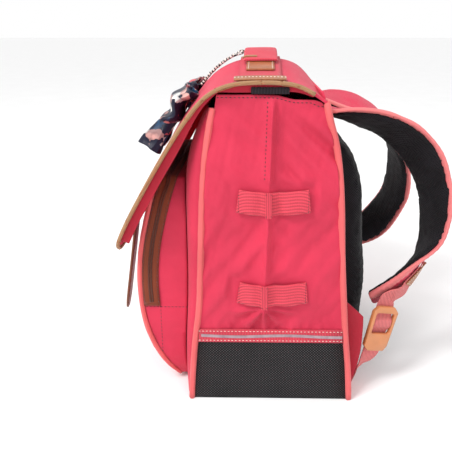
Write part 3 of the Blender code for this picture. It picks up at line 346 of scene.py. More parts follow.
def leather(name, colour, roughness=0.42):
    """Leather: pebbled grain, darker pores, lighter wear and a soft gloss."""
    finish = Finish(name, roughness, 0.0, 0.5, 0.12)
    pores = finish.node("ShaderNodeTexVoronoi", feature="DISTANCE_TO_EDGE")
    pores.inputs["Scale"].default_value = 900.0
    finish.tree.links.new(finish.place(), pores.inputs["Vector"])
    grain = finish.ramp(pores.outputs["Distance"], [(0.0, (0.0, 0.0, 0.0)), (0.18, (1.0, 1.0, 1.0))])
    tone = finish.ramp(finish.noise(55.0, 5.0), [(0.3, shade(colour, 0.78)), (0.7, shade(colour, 1.22))])
    finish.paint(finish.mix(grain, shade(colour, 0.55), tone))
    finish.roughen(finish.noise(120.0), roughness - 0.1, roughness + 0.16)
    finish.bump(finish.noise(300.0, 4.0), 0.0004, 0.5)
    finish.bump(grain, 0.0002, 0.6)
    return finish.material


def moulded(name, colour):
    """Moulded plastic with a satin face and faint flow marks."""
    finish = Finish(name, 0.34, 0.0, 0.5, 0.2)
    tone = finish.ramp(finish.noise(45.0, 2.0), [(0.3, shade(colour, 0.9)), (0.7, shade(colour, 1.1))])
    finish.paint(tone)
    finish.roughen(finish.noise(260.0, 4.0), 0.28, 0.46)
    finish.bump(finish.noise(700.0, 3.0), 0.00015, 0.5)
    return finish.material


def satin(name):
    """Scarf satin: navy ground with irregular patches of teal, coral, blush and white."""
    tints = colours()
    finish = Finish(name, 0.36, 0.0, 0.24)
    finish.shader.inputs["Anisotropic"].default_value = 0.4
    _, along = finish.surface()
    drift = finish.node("ShaderNodeTexNoise")
    drift.inputs["Scale"].default_value = 70.0
    drift.inputs["Detail"].default_value = 2.0
    finish.tree.links.new(finish.place(), drift.inputs["Vector"])
    strength = finish.node("ShaderNodeVectorMath", operation="SCALE")
    strength.inputs["Scale"].default_value = 0.014
    finish.tree.links.new(drift.outputs["Color"], strength.inputs[0])
    drawn = finish.node("ShaderNodeVectorMath", operation="ADD")
    finish.tree.links.new(finish.place(), drawn.inputs[0])
    finish.tree.links.new(strength.outputs[0], drawn.inputs[1])
    patches = finish.node("ShaderNodeTexVoronoi")
    patches.inputs["Scale"].default_value = 92.0
    finish.tree.links.new(drawn.outputs[0], patches.inputs["Vector"])
    draw_lot = finish.node("ShaderNodeSeparateColor")
    finish.tree.links.new(patches.outputs["Color"], draw_lot.inputs[0])
    navy, teal, blush = tuple(tints.navy), tuple(tints.teal), tuple(tints.blush)
    stops = [(0.0, navy), (0.60, navy), (0.62, teal), (0.76, teal), (0.77, (0.62, 0.09, 0.10)),
             (0.85, (0.62, 0.09, 0.10)), (0.86, blush), (0.94, blush), (0.95, (0.78, 0.74, 0.70))]
    printed = finish.ramp(draw_lot.outputs[0], stops)
    rim = finish.ramp(patches.outputs["Distance"], [(0.30, (0.0, 0.0, 0.0)), (0.62, (1.0, 1.0, 1.0))])
    printed = finish.mix(finish.maths("MULTIPLY", rim, 0.55), printed, navy)
    threads = finish.wave(along, 0.0005)
    finish.paint(finish.mix(finish.maths("MULTIPLY", threads, 0.06), printed, (0.2, 0.2, 0.3)))
    finish.roughen(finish.noise(60.0), 0.28, 0.44)
    finish.bump(finish.noise(130.0, 3.0), 0.0006, 0.3)
    finish.bump(threads, 0.00005, 0.4)
    return finish.material


def lining(name):
    """Blush lining of the scarf's folds."""
    finish = Finish(name, 0.4, 0.4, 0.5)
    blush = tuple(colours().blush)
    finish.paint(finish.ramp(finish.noise(40.0), [(0.3, shade(blush, 0.75)), (0.7, shade(blush, 1.15))]))
    finish.bump(finish.noise(150.0), 0.0005, 0.3)
    return finish.material


def speckled(name):
    """Cord braided from alternate black and white threads."""
    finish = Finish(name, 0.6, 0.3, 0.4)
    cells = finish.node("ShaderNodeTexVoronoi")
    cells.inputs["Scale"].default_value = 520.0
    finish.tree.links.new(finish.place(), cells.inputs["Vector"])
    tone = finish.node("ShaderNodeSeparateColor")
    finish.tree.links.new(cells.outputs["Color"], tone.inputs[0])
    finish.paint(finish.ramp(tone.outputs[0], [(0.45, (0.012, 0.011, 0.014)), (0.55, (0.80, 0.76, 0.74))]))
    finish.bump(cells.outputs["Distance"], 0.0006, 0.8)
    return finish.material


def plain_thread(name, colour):
    """Sewing thread with a fine twist."""
    finish = Finish(name, 0.55, 0.4, 0.4)
    finish.paint(finish.ramp(finish.noise(400.0), [(0.3, shade(colour, 0.85)), (0.7, shade(colour, 1.1))]))
    finish.bump(finish.noise(2400.0), 0.0001, 0.5)
    return finish.material


def reflective(name):
    """Grey reflective tape with fine glass beads."""
    finish = Finish(name, 0.38, 0.0, 0.6)
    finish.shader.inputs["Metallic"].default_value = 0.35
    finish.paint(finish.ramp(finish.noise(120.0), [(0.3, (0.26, 0.17, 0.20)), (0.7, (0.40, 0.30, 0.33))]))
    finish.bump(finish.noise(1800.0), 0.0001, 0.5)
    return finish.material


def floor_paper(name, colour):
    """Pale paper floor with a faint tooth."""
    finish = Finish(name, 0.9, 0.0, 0.2)
    finish.paint(finish.ramp(finish.noise(6.0), [(0.3, shade(colour, 0.985)), (0.7, shade(colour, 1.01))]))
    finish.bump(finish.noise(500.0), 0.0002, 0.2)
    return finish.material


def striped_ribbon(name):
    """Pale ribbon with slanting coral stripes."""
    finish = Finish(name, 0.5, 0.3, 0.4)
    across, along = finish.surface()
    stripes = finish.wave(finish.maths("ADD", across, along), 0.0042)
    finish.paint(finish.ramp(stripes, [(0.35, (0.80, 0.74, 0.72)), (0.60, (0.72, 0.20, 0.24))]))
    finish.bump(finish.wave(along, 0.0008), 0.0001, 0.5)
    return finish.material


FINISHES = {
    "coral_cloth": lambda c, s: woven("coral_cloth", tuple(c.coral), s.weave, 0.00022, 0.60, 0.08),
    "coral_lip": lambda c, s: woven("coral_lip", tuple(c.lip), s.weave, 0.00022, 0.60, 0.08),
    "light_piping": lambda c, s: woven("light_piping", tuple(c.piping), s.weave, 0.00018, 0.65, 0.12),
    "strap_edge": lambda c, s: woven("strap_edge", tuple(c.strap_edge), s.weave, 0.00018, 0.65, 0.15),
    "coral_webbing": lambda c, s: ribbed("coral_webbing", tuple(c.webbing), s.webbing_rib, 0.0004),
    # The elastic's last number sets how dark the painted shade in its rib grooves is.
    "elastic": lambda c, s: ribbed("elastic", tuple(c.webbing), s.elastic_rib, 0.0006, 0.66, True,
                                   0.0024, 0.72),
    "black_base": lambda c, s: dotted_base("black_base", tuple(c.base), s.base_dots),
    "black_mesh": lambda c, s: spacer_mesh("black_mesh", tuple(c.mesh), s.mesh_cells),
    "black_webbing": lambda c, s: ribbed("black_webbing", (0.016, 0.010, 0.014), 0.0030, 0.0008),
    "strap_webbing": lambda c, s: ribbed("strap_webbing", shade(tuple(c.strap_edge), 0.92),
                                         s.webbing_rib, 0.0004),
    "tan_binding": lambda c, s: ribbed("tan_binding", tuple(c.binding), 0.0011, 0.0002, 0.6),
    "tan_leather": lambda c, s: leather("tan_leather", tuple(c.tan)),
    "brown_leather": lambda c, s: leather("brown_leather", tuple(c.brown)),
    # Painted shade: the brown leather darkened for the closure straps, which stand in shade.
    "dark_leather": lambda c, s: leather("dark_leather", shade(tuple(c.brown), 0.45)),
    "zip_tape": lambda c, s: ribbed("zip_tape", tuple(c.zip_tape), 0.0010, 0.0002),
    "buckle_plastic": lambda c, s: moulded("buckle_plastic", tuple(c.buckle)),
    "scarf_satin": lambda c, s: satin("scarf_satin"),
    "scarf_lining": lambda c, s: lining("scarf_lining"),
    "speckled_cord": lambda c, s: speckled("speckled_cord"),
    "thread": lambda c, s: plain_thread("thread", tuple(c.thread)),
    "dark_thread": lambda c, s: plain_thread("dark_thread", tuple(c.dark_thread)),
    "zip_teeth": lambda c, s: moulded("zip_teeth", shade(tuple(c.zip_tape), 0.35)),
    "reflective_tape": lambda c, s: reflective("reflective_tape"),
    "striped_ribbon": lambda c, s: striped_ribbon("striped_ribbon"),
    "floor_paper": lambda c, s: floor_paper("floor_paper", tuple(c.floor)),
}


def finish_named(name):
    """The finish of that name, built when first asked for. The frame's own plain materials have no ending."""
    return bpy.data.materials.get(name + FINISH_ENDING) or FINISHES[name](colours(), sizes())


def link_piece(name, mesh, finish):
    """Links a mesh as an object at the origin, with its finish."""
    piece = bpy.data.objects.new(name, mesh)
    bpy.context.scene.collection.objects.link(piece)
    mesh.materials.clear()
    mesh.materials.append(finish_named(finish))
    return piece


def baked(piece):
    """Turns a piece's modifiers into plain mesh."""
    view = bpy.context.evaluated_depsgraph_get()
    view.update()
    mesh = bpy.data.meshes.new_from_object(piece.evaluated_get(view), preserve_all_data_layers=True,
                                           depsgraph=view)
    old = piece.data
    piece.modifiers.clear()
    piece.data = mesh
    bpy.data.meshes.remove(old)
    mesh.name = piece.name
    return piece


def mesh_points(mesh):
    """Vertex places as an array."""
    points = np.zeros(len(mesh.vertices) * 3)
    mesh.vertices.foreach_get("co", points)
    return points.reshape(-1, 3)


def mesh_normals(mesh):
    """Vertex normals as an array."""
    normals = np.zeros(len(mesh.vertices) * 3)
    mesh.vertex_normals.foreach_get("vector", normals)
    return normals.reshape(-1, 3)


def lay_out_surface(mesh):
    """A UV map named surface, in metres, laid on each face from the side that it faces."""
    if "surface" in mesh.uv_layers:
        mesh.uv_layers.remove(mesh.uv_layers["surface"])
    layer = mesh.uv_layers.new(name="surface")
    points = mesh_points(mesh)
    normals = np.zeros(len(mesh.polygons) * 3)
    mesh.polygons.foreach_get("normal", normals)
    facing = np.abs(normals.reshape(-1, 3)).argmax(1)
    totals = np.zeros(len(mesh.polygons), int)
    mesh.polygons.foreach_get("loop_total", totals)
    of_loop = np.repeat(facing, totals)
    corners = np.zeros(len(mesh.loops), int)
    mesh.loops.foreach_get("vertex_index", corners)
    places = points[corners]
    first = np.array((1, 0, 0))[of_loop]
    second = np.array((2, 2, 1))[of_loop]
    rows = np.arange(len(corners))
    flat = np.stack((places[rows, first], places[rows, second]), 1)
    layer.data.foreach_set("uv", flat.ravel())


def along_surface(piece, along_axis, across_axis, degree=4):
    """Replaces the UV map of a strip: V runs across it from its middle line, so that ribs follow its sag."""
    mesh = piece.data
    points = mesh_points(mesh)
    along, across = points[:, along_axis], points[:, across_axis]
    middle = np.polyval(np.polyfit(along, across, degree), along)
    corners = np.zeros(len(mesh.loops), int)
    mesh.loops.foreach_get("vertex_index", corners)
    flat = np.stack((along[corners], (across - middle)[corners]), 1)
    mesh.uv_layers["surface"].data.foreach_set("uv", flat.ravel())


def smooth_faces(mesh, angle=50.0):
    """Smooth shading with sharp edges kept."""
    mesh.shade_smooth()
    mesh.set_sharp_from_angle(angle=math.radians(angle))


def clean_copy(node, crease_angle=38.0, crease=1.0):
    """A frame node's mesh with its doubles merged, its triangles paired and its sharp rims creased."""
    mesh = bmesh.new()
    mesh.from_mesh(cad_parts[node].data)
    bmesh.ops.remove_doubles(mesh, verts=mesh.verts, dist=0.00002)
    bmesh.ops.join_triangles(mesh, faces=mesh.faces, angle_face_threshold=math.radians(35),
                             angle_shape_threshold=math.radians(70), cmp_seam=False)
    creases = mesh.edges.layers.float.new("crease_edge")
    for edge in mesh.edges:
        if len(edge.link_faces) == 2 and edge.calc_face_angle(0.0) > math.radians(crease_angle):
            edge[creases] = crease
    return mesh


def split_long(piece, longest):
    """Splits the edges that are longer than the length given, so that the cloth can take fine wrinkles."""
    mesh = bmesh.new()
    mesh.from_mesh(piece.data)
    for _ in range(4):
        long = [edge for edge in mesh.edges if edge.calc_length() > longest]
        if not long:
            break
        bmesh.ops.subdivide_edges(mesh, edges=long, cuts=1, use_grid_fill=True)
    mesh.to_mesh(piece.data)
    mesh.free()


def dress(node, finish, cuts=2, relief=None, crease_angle=38.0, crease=1.0, name=None, bevel=0.0,
          angle=50.0, longest=0.0):
    """A smooth, finely divided piece in place of a frame node, with its relief raised along its normals."""
    rough = clean_copy(node, crease_angle, crease)
    data = bpy.data.meshes.new(name or node)
    rough.to_mesh(data)
    rough.free()
    piece = link_piece((name or node) + "_piece", data, finish)
    if bevel:
        edge = piece.modifiers.new("rounded_edge", "BEVEL")
        edge.width = bevel
        edge.segments = 2
        edge.limit_method = "ANGLE"
        edge.angle_limit = math.radians(crease_angle)
    if cuts:
        divide = piece.modifiers.new("smooth", "SUBSURF")
        divide.levels = cuts
        divide.render_levels = cuts
        divide.boundary_smooth = "PRESERVE_CORNERS"
    baked(piece)
    if longest:
        split_long(piece, longest)
    if relief:
        raise_relief(piece, relief)
    lay_out_surface(piece.data)
    smooth_faces(piece.data, angle)
    keep(piece, node)
    return piece


def raise_relief(piece, relief):
    """Moves each vertex along its normal by what relief says for its place and normal."""
    points, normals = mesh_points(piece.data), mesh_normals(piece.data)
    heights = np.array([relief(point, normal) for point, normal in zip(points, normals)])
    piece.data.vertices.foreach_set("co", (points + normals * heights[:, None]).ravel())
    piece.data.update()


def keep(piece, node=None):
    """Fastens a piece to the body, and hides the frame node that it stands for, if one is given."""
    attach(piece, "root")
    if node:
        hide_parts(node)
    return piece


def ripple(point, spread, stretch=(1.0, 1.0, 1.0), seed=0.0):
    """Smooth noise from -1 to 1 with lumps about as wide as the spread."""
    return noise.noise(Vector((point[0] * stretch[0] / spread + seed, point[1] * stretch[1] / spread,
                               point[2] * stretch[2] / spread)))


def slanted(point, angle, long, short, seed=0.0):
    """Noise drawn out into wrinkles at an angle in the side view."""
    cos, sin = math.cos(angle), math.sin(angle)
    along = point[1] * cos + point[2] * sin
    over = point[2] * cos - point[1] * sin
    return noise.noise(Vector((along / long + seed, over / short, point[0] * 20 + seed)))


def ease(low, high, value):
    """0 below low, 1 above high, smooth between."""
    part = min(max((value - low) / (high - low), 0.0), 1.0)
    return part * part * (3 - 2 * part)


def surface_tree(*pieces):
    """A tree for finding places on finished pieces."""
    points, faces = [], []
    for piece in pieces:
        start = len(points)
        points += [vertex.co.copy() for vertex in piece.data.vertices]
        faces += [[start + index for index in face.vertices] for face in piece.data.polygons]
    return BVHTree.FromPolygons(points, faces)


def look_along(tree, origins, direction):
    """Places and facings on a surface, found by looking from each origin in the direction given."""
    places, facings = [], []
    look = Vector(direction).normalized()
    for origin in origins:
        hit, facing, _, _ = tree.ray_cast(origin - look * 0.08, look)
        if hit is None:
            continue
        places.append(hit)
        facings.append(-facing if facing.dot(look) > 0 else facing)
    return places, facings


def lay_on(tree, start, end, direction, steps=30):
    """Places and facings on a surface below a straight line."""
    origins = [Vector(start).lerp(Vector(end), step / steps) for step in range(steps + 1)]
    return look_along(tree, origins, direction)


def from_side(tree, side, start, end, steps):
    """A run on the face that one side shows, between two places given as depth and height."""
    outside = side * LOOK_FROM_SIDE
    return lay_on(tree, (outside, *start), (outside, *end), (-side, 0, 0), steps)


def from_above(tree, start, end, steps):
    """A run on the face that shows from above, between two places given as X and Y."""
    return lay_on(tree, (*start, LOOK_FROM_ABOVE), (*end, LOOK_FROM_ABOVE), (0, 0, -1), steps)


def stitch_item(length, width, height):
    """A short rounded stitch lying along X."""
    mesh = bmesh.new()
    bmesh.ops.create_uvsphere(mesh, u_segments=6, v_segments=4, radius=0.5)
    bmesh.ops.rotate(mesh, verts=mesh.verts, matrix=Matrix.Rotation(math.pi / 2, 3, "Y"))
    bmesh.ops.scale(mesh, verts=mesh.verts, vec=Vector((length, width, height)))
    data = bpy.data.meshes.new("stitch_item")
    mesh.to_mesh(data)
    mesh.free()
    return data


def tooth_item(length, width, height):
    """A zip tooth: a small block with rounded corners."""
    mesh = bmesh.new()
    bmesh.ops.create_cube(mesh, size=1.0)
    bmesh.ops.scale(mesh, verts=mesh.verts, vec=Vector((length, width, height)))
    bmesh.ops.bevel(mesh, geom=list(mesh.edges), offset=length * 0.22, segments=1, affect="EDGES")
    data = bpy.data.meshes.new("tooth_item")
    mesh.to_mesh(data)
    mesh.free()
    return data


def repeat_tree():
    """Geometry nodes that set an item along runs, turned to each run's direction and facing."""
    tree = bpy.data.node_groups.get("repeat_along_runs")
    if tree:
        return tree
    tree = bpy.data.node_groups.new("repeat_along_runs", "GeometryNodeTree")
    tree.interface.new_socket("Geometry", in_out="INPUT", socket_type="NodeSocketGeometry")
    tree.interface.new_socket("Item", in_out="INPUT", socket_type="NodeSocketObject")
    step = tree.interface.new_socket("Step", in_out="INPUT", socket_type="NodeSocketFloat")
    step.subtype = "DISTANCE"
    tree.interface.new_socket("Finish", in_out="INPUT", socket_type="NodeSocketMaterial")
    tree.interface.new_socket("Geometry", in_out="OUTPUT", socket_type="NodeSocketGeometry")
    source = tree.nodes.new("NodeGroupInput")
    result = tree.nodes.new("NodeGroupOutput")
    to_curve = tree.nodes.new("GeometryNodeMeshToCurve")
    spaced = tree.nodes.new("GeometryNodeResampleCurve")
    spaced.mode = "LENGTH"
    facing = tree.nodes.new("GeometryNodeInputNamedAttribute")
    facing.data_type = "FLOAT_VECTOR"
    facing.inputs["Name"].default_value = "facing"
    tangent = tree.nodes.new("GeometryNodeInputTangent")
    ahead = tree.nodes.new("FunctionNodeAlignRotationToVector")
    ahead.axis = "X"
    upward = tree.nodes.new("FunctionNodeAlignRotationToVector")
    upward.axis = "Z"
    upward.pivot_axis = "X"
    item = tree.nodes.new("GeometryNodeObjectInfo")
    placed = tree.nodes.new("GeometryNodeInstanceOnPoints")
    real = tree.nodes.new("GeometryNodeRealizeInstances")
    painted = tree.nodes.new("GeometryNodeSetMaterial")
    links = (
        (source.outputs["Geometry"], to_curve.inputs[0]),
        (to_curve.outputs[0], spaced.inputs["Curve"]),
        (source.outputs["Step"], spaced.inputs["Length"]),
        (tangent.outputs[0], ahead.inputs["Vector"]),
        (ahead.outputs[0], upward.inputs["Rotation"]),
        (facing.outputs["Attribute"], upward.inputs["Vector"]),
        (spaced.outputs[0], placed.inputs["Points"]),
        (source.outputs["Item"], item.inputs["Object"]),
        (item.outputs["Geometry"], placed.inputs["Instance"]),
        (upward.outputs[0], placed.inputs["Rotation"]),
        (placed.outputs[0], real.inputs[0]),
        (real.outputs[0], painted.inputs["Geometry"]),
        (source.outputs["Finish"], painted.inputs["Material"]),
        (painted.outputs[0], result.inputs[0]),
    )
    for start, end in links:
        tree.links.new(start, end)
    return tree


def set_input(modifier, name, value):
    """Sets a node tree's named input on its modifier."""
    for socket in modifier.node_group.interface.items_tree:
        if socket.item_type == "SOCKET" and socket.in_out == "INPUT" and socket.name == name:
            modifier[socket.identifier] = value
            return
    raise KeyError(name)


def repeat_along(name, runs, item_mesh, step, finish):
    """One plain mesh of items set along runs of (places, facings)."""
    lines = bmesh.new()
    facing_layer = lines.verts.layers.float_vector.new("facing")
    for places, facings in runs:
        before = None
        for place, facing in zip(places, facings):
            vertex = lines.verts.new(place)
            vertex[facing_layer] = facing
            if before:
                lines.edges.new((before, vertex))
            before = vertex
    data = bpy.data.meshes.new(name)
    lines.to_mesh(data)
    lines.free()
    if not data.edges:
        raise RuntimeError(f"{name} has no run to follow")
    item = bpy.data.objects.new(name + "_item", item_mesh)
    bpy.context.scene.collection.objects.link(item)
    piece = bpy.data.objects.new(name, data)
    bpy.context.scene.collection.objects.link(piece)
    modifier = piece.modifiers.new("repeat", "NODES")
    modifier.node_group = repeat_tree()
    set_input(modifier, "Item", item)
    set_input(modifier, "Step", step)
    set_input(modifier, "Finish", finish_named(finish))
    baked(piece)
    bpy.data.objects.remove(item)
    piece.data.shade_smooth()
    lay_out_surface(piece.data)
    keep(piece, None)
    return piece


def sew(name, runs, finish="thread"):
    """Stitches along runs, with the seam's own sizes or else the scene's."""
    common = sizes()
    step, length, width = STITCHES.get(name, (common.stitch_step, common.stitch, common.thread))
    return repeat_along(name, runs, stitch_item(length, width, width * 0.8), step, finish)


def trim_strip(name, places, facings, width, thickness, finish, shift=0.0):
    """A thin strip that follows places on a surface."""
    mesh = bmesh.new()
    rings = []
    last = len(places) - 1
    for index, (place, facing) in enumerate(zip(places, facings)):
        ahead = (places[min(index + 1, last)] - places[max(index - 1, 0)]).normalized()
        side = ahead.cross(facing).normalized()
        middle = place + side * shift
        half, rise = side * width / 2, facing * thickness
        corners = [middle - half, middle + half, middle + half + rise, middle - half + rise]
        rings.append([mesh.verts.new(corner) for corner in corners])
    for near, far in zip(rings, rings[1:]):
        for index in range(4):
            after = (index + 1) % 4
            mesh.faces.new((near[index], near[after], far[after], far[index]))
    mesh.faces.new(list(reversed(rings[0])))
    mesh.faces.new(rings[-1])
    bmesh.ops.recalc_face_normals(mesh, faces=mesh.faces)
    data = bpy.data.meshes.new(name)
    mesh.to_mesh(data)
    mesh.free()
    piece = link_piece(name, data, finish)
    lay_out_surface(data)
    smooth_faces(data, 40.0)
    keep(piece, None)
    return piece


def puffed(node, finish, cap, voxel, pressure=4.0, frames=20, relief=None):
    """A padded piece: a voxel copy of the node, inflated by cloth simulation and kept near its shape."""
    rough = clean_copy(node)
    data = bpy.data.meshes.new(node)
    rough.to_mesh(data)
    rough.free()
    piece = link_piece(node + "_piece", data, finish)
    remesh = piece.modifiers.new("voxels", "REMESH")
    remesh.mode = "VOXEL"
    remesh.voxel_size = voxel
    baked(piece)
    start = mesh_points(piece.data)
    cloth = piece.modifiers.new("air", "CLOTH")
    cloth.settings.use_pressure = True
    cloth.settings.uniform_pressure_force = pressure
    cloth.settings.effector_weights.gravity = 0.0
    cloth.settings.quality = 4
    scene = bpy.context.scene
    for step in range(1, frames + 1):
        scene.frame_set(step)
    baked(piece)
    scene.frame_set(1)
    moved = mesh_points(piece.data) - start
    length = np.linalg.norm(moved, axis=1)[:, None]
    held = start + moved * np.minimum(1.0, cap / np.maximum(length, 1e-9))
    piece.data.vertices.foreach_set("co", held.ravel())
    piece.data.update()
    divide = piece.modifiers.new("smooth", "SUBSURF")
    divide.levels = 1
    divide.render_levels = 1
    baked(piece)
    if relief:
        raise_relief(piece, relief)
    lay_out_surface(piece.data)
    smooth_faces(piece.data, 60.0)
    keep(piece, node)
    return piece


def warp(piece, field):
    """Moves each vertex by the field's vector for its place, so that both faces of a wall move alike."""
    points = mesh_points(piece.data)
    moves = np.array([field(point) for point in points])
    piece.data.vertices.foreach_set("co", (points + moves).ravel())
    piece.data.update()
    smooth_faces(piece.data)
    return piece


def side_field(side):
    """Soft dents, slanting wrinkles and gathers of the side cloth."""
    depth = sizes().wrinkle

    def field(point):
        y, z = point[1], point[2]
        lo, hi = SIDE_BOXES[side]
        over = (y - lo.y) / (hi.y - lo.y)
        up = (z - lo.z) / (hi.z - lo.z)
        edge = ease(0.0, 0.10, over) * ease(0.0, 0.10, 1 - over)
        edge *= ease(0.0, 0.05, up) * ease(0.0, 0.06, 1 - up)
        slant = slanted(point, -0.80, 0.060, 0.011, 3.0) * ease(0.35, 0.75, up)
        rise = slanted(point, 0.95, 0.070, 0.013, 9.0) * ease(0.30, 0.60, 1 - up)
        dents = ripple(point, 0.045, (0.0, 1.0, 0.8), 5.0)
        fine = slanted(point, 1.35, 0.030, 0.006, 14.0)
        gather = math.sin(y * 620 + 2.5 * ripple(point, 0.02, seed=2.0))
        gather *= ease(0.10, 0.0, up) * ease(0.0, 0.02, up)
        behind = ease(0.0, 0.02, y)
        down, aside = FAN_TOP - z, y + PLEAT_LEAN
        reach = math.hypot(down, aside)
        fan = math.cos(9.0 * math.atan2(aside, down)) * ease(0.0, 0.006, down)
        fan *= ease(0.003, 0.012, reach) * ease(0.048, 0.020, reach)
        total = (2.8 + 5.6 * behind) * slant + 4.0 * rise + 4.4 * dents
        total += 0.5 * fine + 0.8 * gather + 2.6 * fan
        free = min(ease(0.016, 0.026, abs(z - 0.139)), ease(0.016, 0.026, abs(z - 0.243)))
        free = max(free, ease(0.042, 0.052, abs(y)))
        crease = y + PLEAT_LEAN * (BAG_TOP - z) / (BAG_TOP - PLEAT_FOOT)
        pleat = PLEAT_RIDGE * math.exp(-(crease / PLEAT_WIDTH) ** 2)
        pleat -= PLEAT_VALLEY * math.exp(-((crease - PLEAT_SHIFT) / PLEAT_WIDTH) ** 2)
        pleat *= ease(PLEAT_FOOT - 0.01, PLEAT_FOOT + 0.01, z)
        heights, front, rear = SIDE_OUTLINE
        to_rear = np.interp(z, heights, rear) - y
        to_front = y - np.interp(z, heights, front)
        tuck = (0.0022 + 0.0030 * ease(0.75, 1.0, up)) * ease(0.020, 0.0, to_rear)
        tuck -= 0.0014 * ease(0.012, 0.0, to_front)
        return (side * edge * free * (depth * total + pleat), tuck, 0.0)

    return field


SIDE_BOXES = {side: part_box(f"side_panel_{word}") for side, word in SIDES}


def side_outline():
    """Heights of the side cloth with its frontmost and rearmost places at each."""
    levels = {}
    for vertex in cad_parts["side_panel_right"].data.vertices:
        levels.setdefault(round(vertex.co.z, 2), []).append(vertex.co.y)
    heights = sorted(level for level, places in levels.items() if max(places) - min(places) > 0.10)
    return heights, [min(levels[z]) for z in heights], [max(levels[z]) for z in heights]


SIDE_OUTLINE = side_outline()


BACK_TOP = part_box("back_panel")[1].z


def reach_flap(point):
    """Draws the top of the back up to where the flap is sewn to it."""
    top = ease(BACK_TOP - 0.020, BACK_TOP, point[2])
    return (0.0, 0.0, top * (BAG_TOP + 0.002 - BACK_TOP))


def side_hem(lo, hi, inset):
    """Points just below the side's top edge, which dips towards the back."""
    points = []
    for step in range(61):
        y = lo.y + 0.006 + (hi.y - lo.y - 0.012) * step / 60
        z = hi.z - 0.005 * ease(0.0, 0.024, y) - 0.004 * ease(0.036, 0.047, y) - inset
        points.append(Vector((0.0, y, z)))
    return points


def front_field(point):
    """Soft folds of the front cloth, clear of the pocket."""
    depth = sizes().wrinkle
    away = ease(0.118, 0.135, abs(point[0]))
    total = 1.2 * ripple(point, 0.05, seed=7.0) + 0.6 * ripple(point, 0.02, (1.0, 1.0, 0.4), 11.0)
    edge = ease(0.142, 0.130, abs(point[0])) * ease(0.0, 0.03, point[2])
    return (0.0, -depth * total * away * edge, 0.0)


def flap_field(point):
    """Slow waves and fine creases of the padded flap."""
    depth = sizes().wrinkle
    edge = ease(0.146, 0.125, abs(point[0])) * ease(0.026, 0.045, abs(point[1] + 0.013))
    total = 1.5 * ripple(point, 0.060, seed=21.0) + 0.7 * ripple(point, 0.022, (1.0, 0.5, 0.5), 23.0)
    lean = math.atan2(0.35 - point[2], 0.02 - point[1]) if point[1] < 0.0 else math.pi / 2
    lean = min(max(lean, 0.0), math.pi / 2)
    return (0.0, -depth * total * edge * math.cos(lean) * 0.8, depth * total * edge * math.sin(lean))


def pocket_field(point):
    """Puffed pocket face with slack folds."""
    depth = sizes().wrinkle
    inside = ease(0.112, 0.085, abs(point[0])) * ease(0.02, 0.05, point[2]) * ease(0.25, 0.22, point[2])
    total = 1.6 * ripple(point, 0.05, seed=31.0) + 0.7 * ripple(point, 0.018, (0.5, 1.0, 1.0), 33.0)
    return (0.0, -depth * total * inside, 0.0)


def gusset_field(point):
    """Small pulls across the pocket's side wall."""
    depth = sizes().wrinkle
    pull = ripple(point, 0.016, (1.0, 0.3, 1.6), 41.0)
    outward = math.copysign(1.0, point[0]) if abs(point[0]) > 0.10 else 0.0
    return (outward * depth * 0.8 * pull, 0.0, 0.0)


def satin_field(spread, depth, seed):
    """Loose folds of the satin: a slow, smooth push in all directions."""
    def field(point):
        return tuple(depth * ripple(point, spread, seed=seed + shift) for shift in (0.0, 17.0, 29.0))

    return field


def puckers(step, depth, fill=0.0004):
    """Small pulls of the seam along a piping, which is filled out by the amount given."""
    def relief(point, normal):
        wave = math.sin(2 * math.pi * (point[0] + point[1] + point[2]) / step)
        return fill + depth * wave * (0.6 + 0.4 * ripple(point, 0.01, seed=51.0))

    return relief


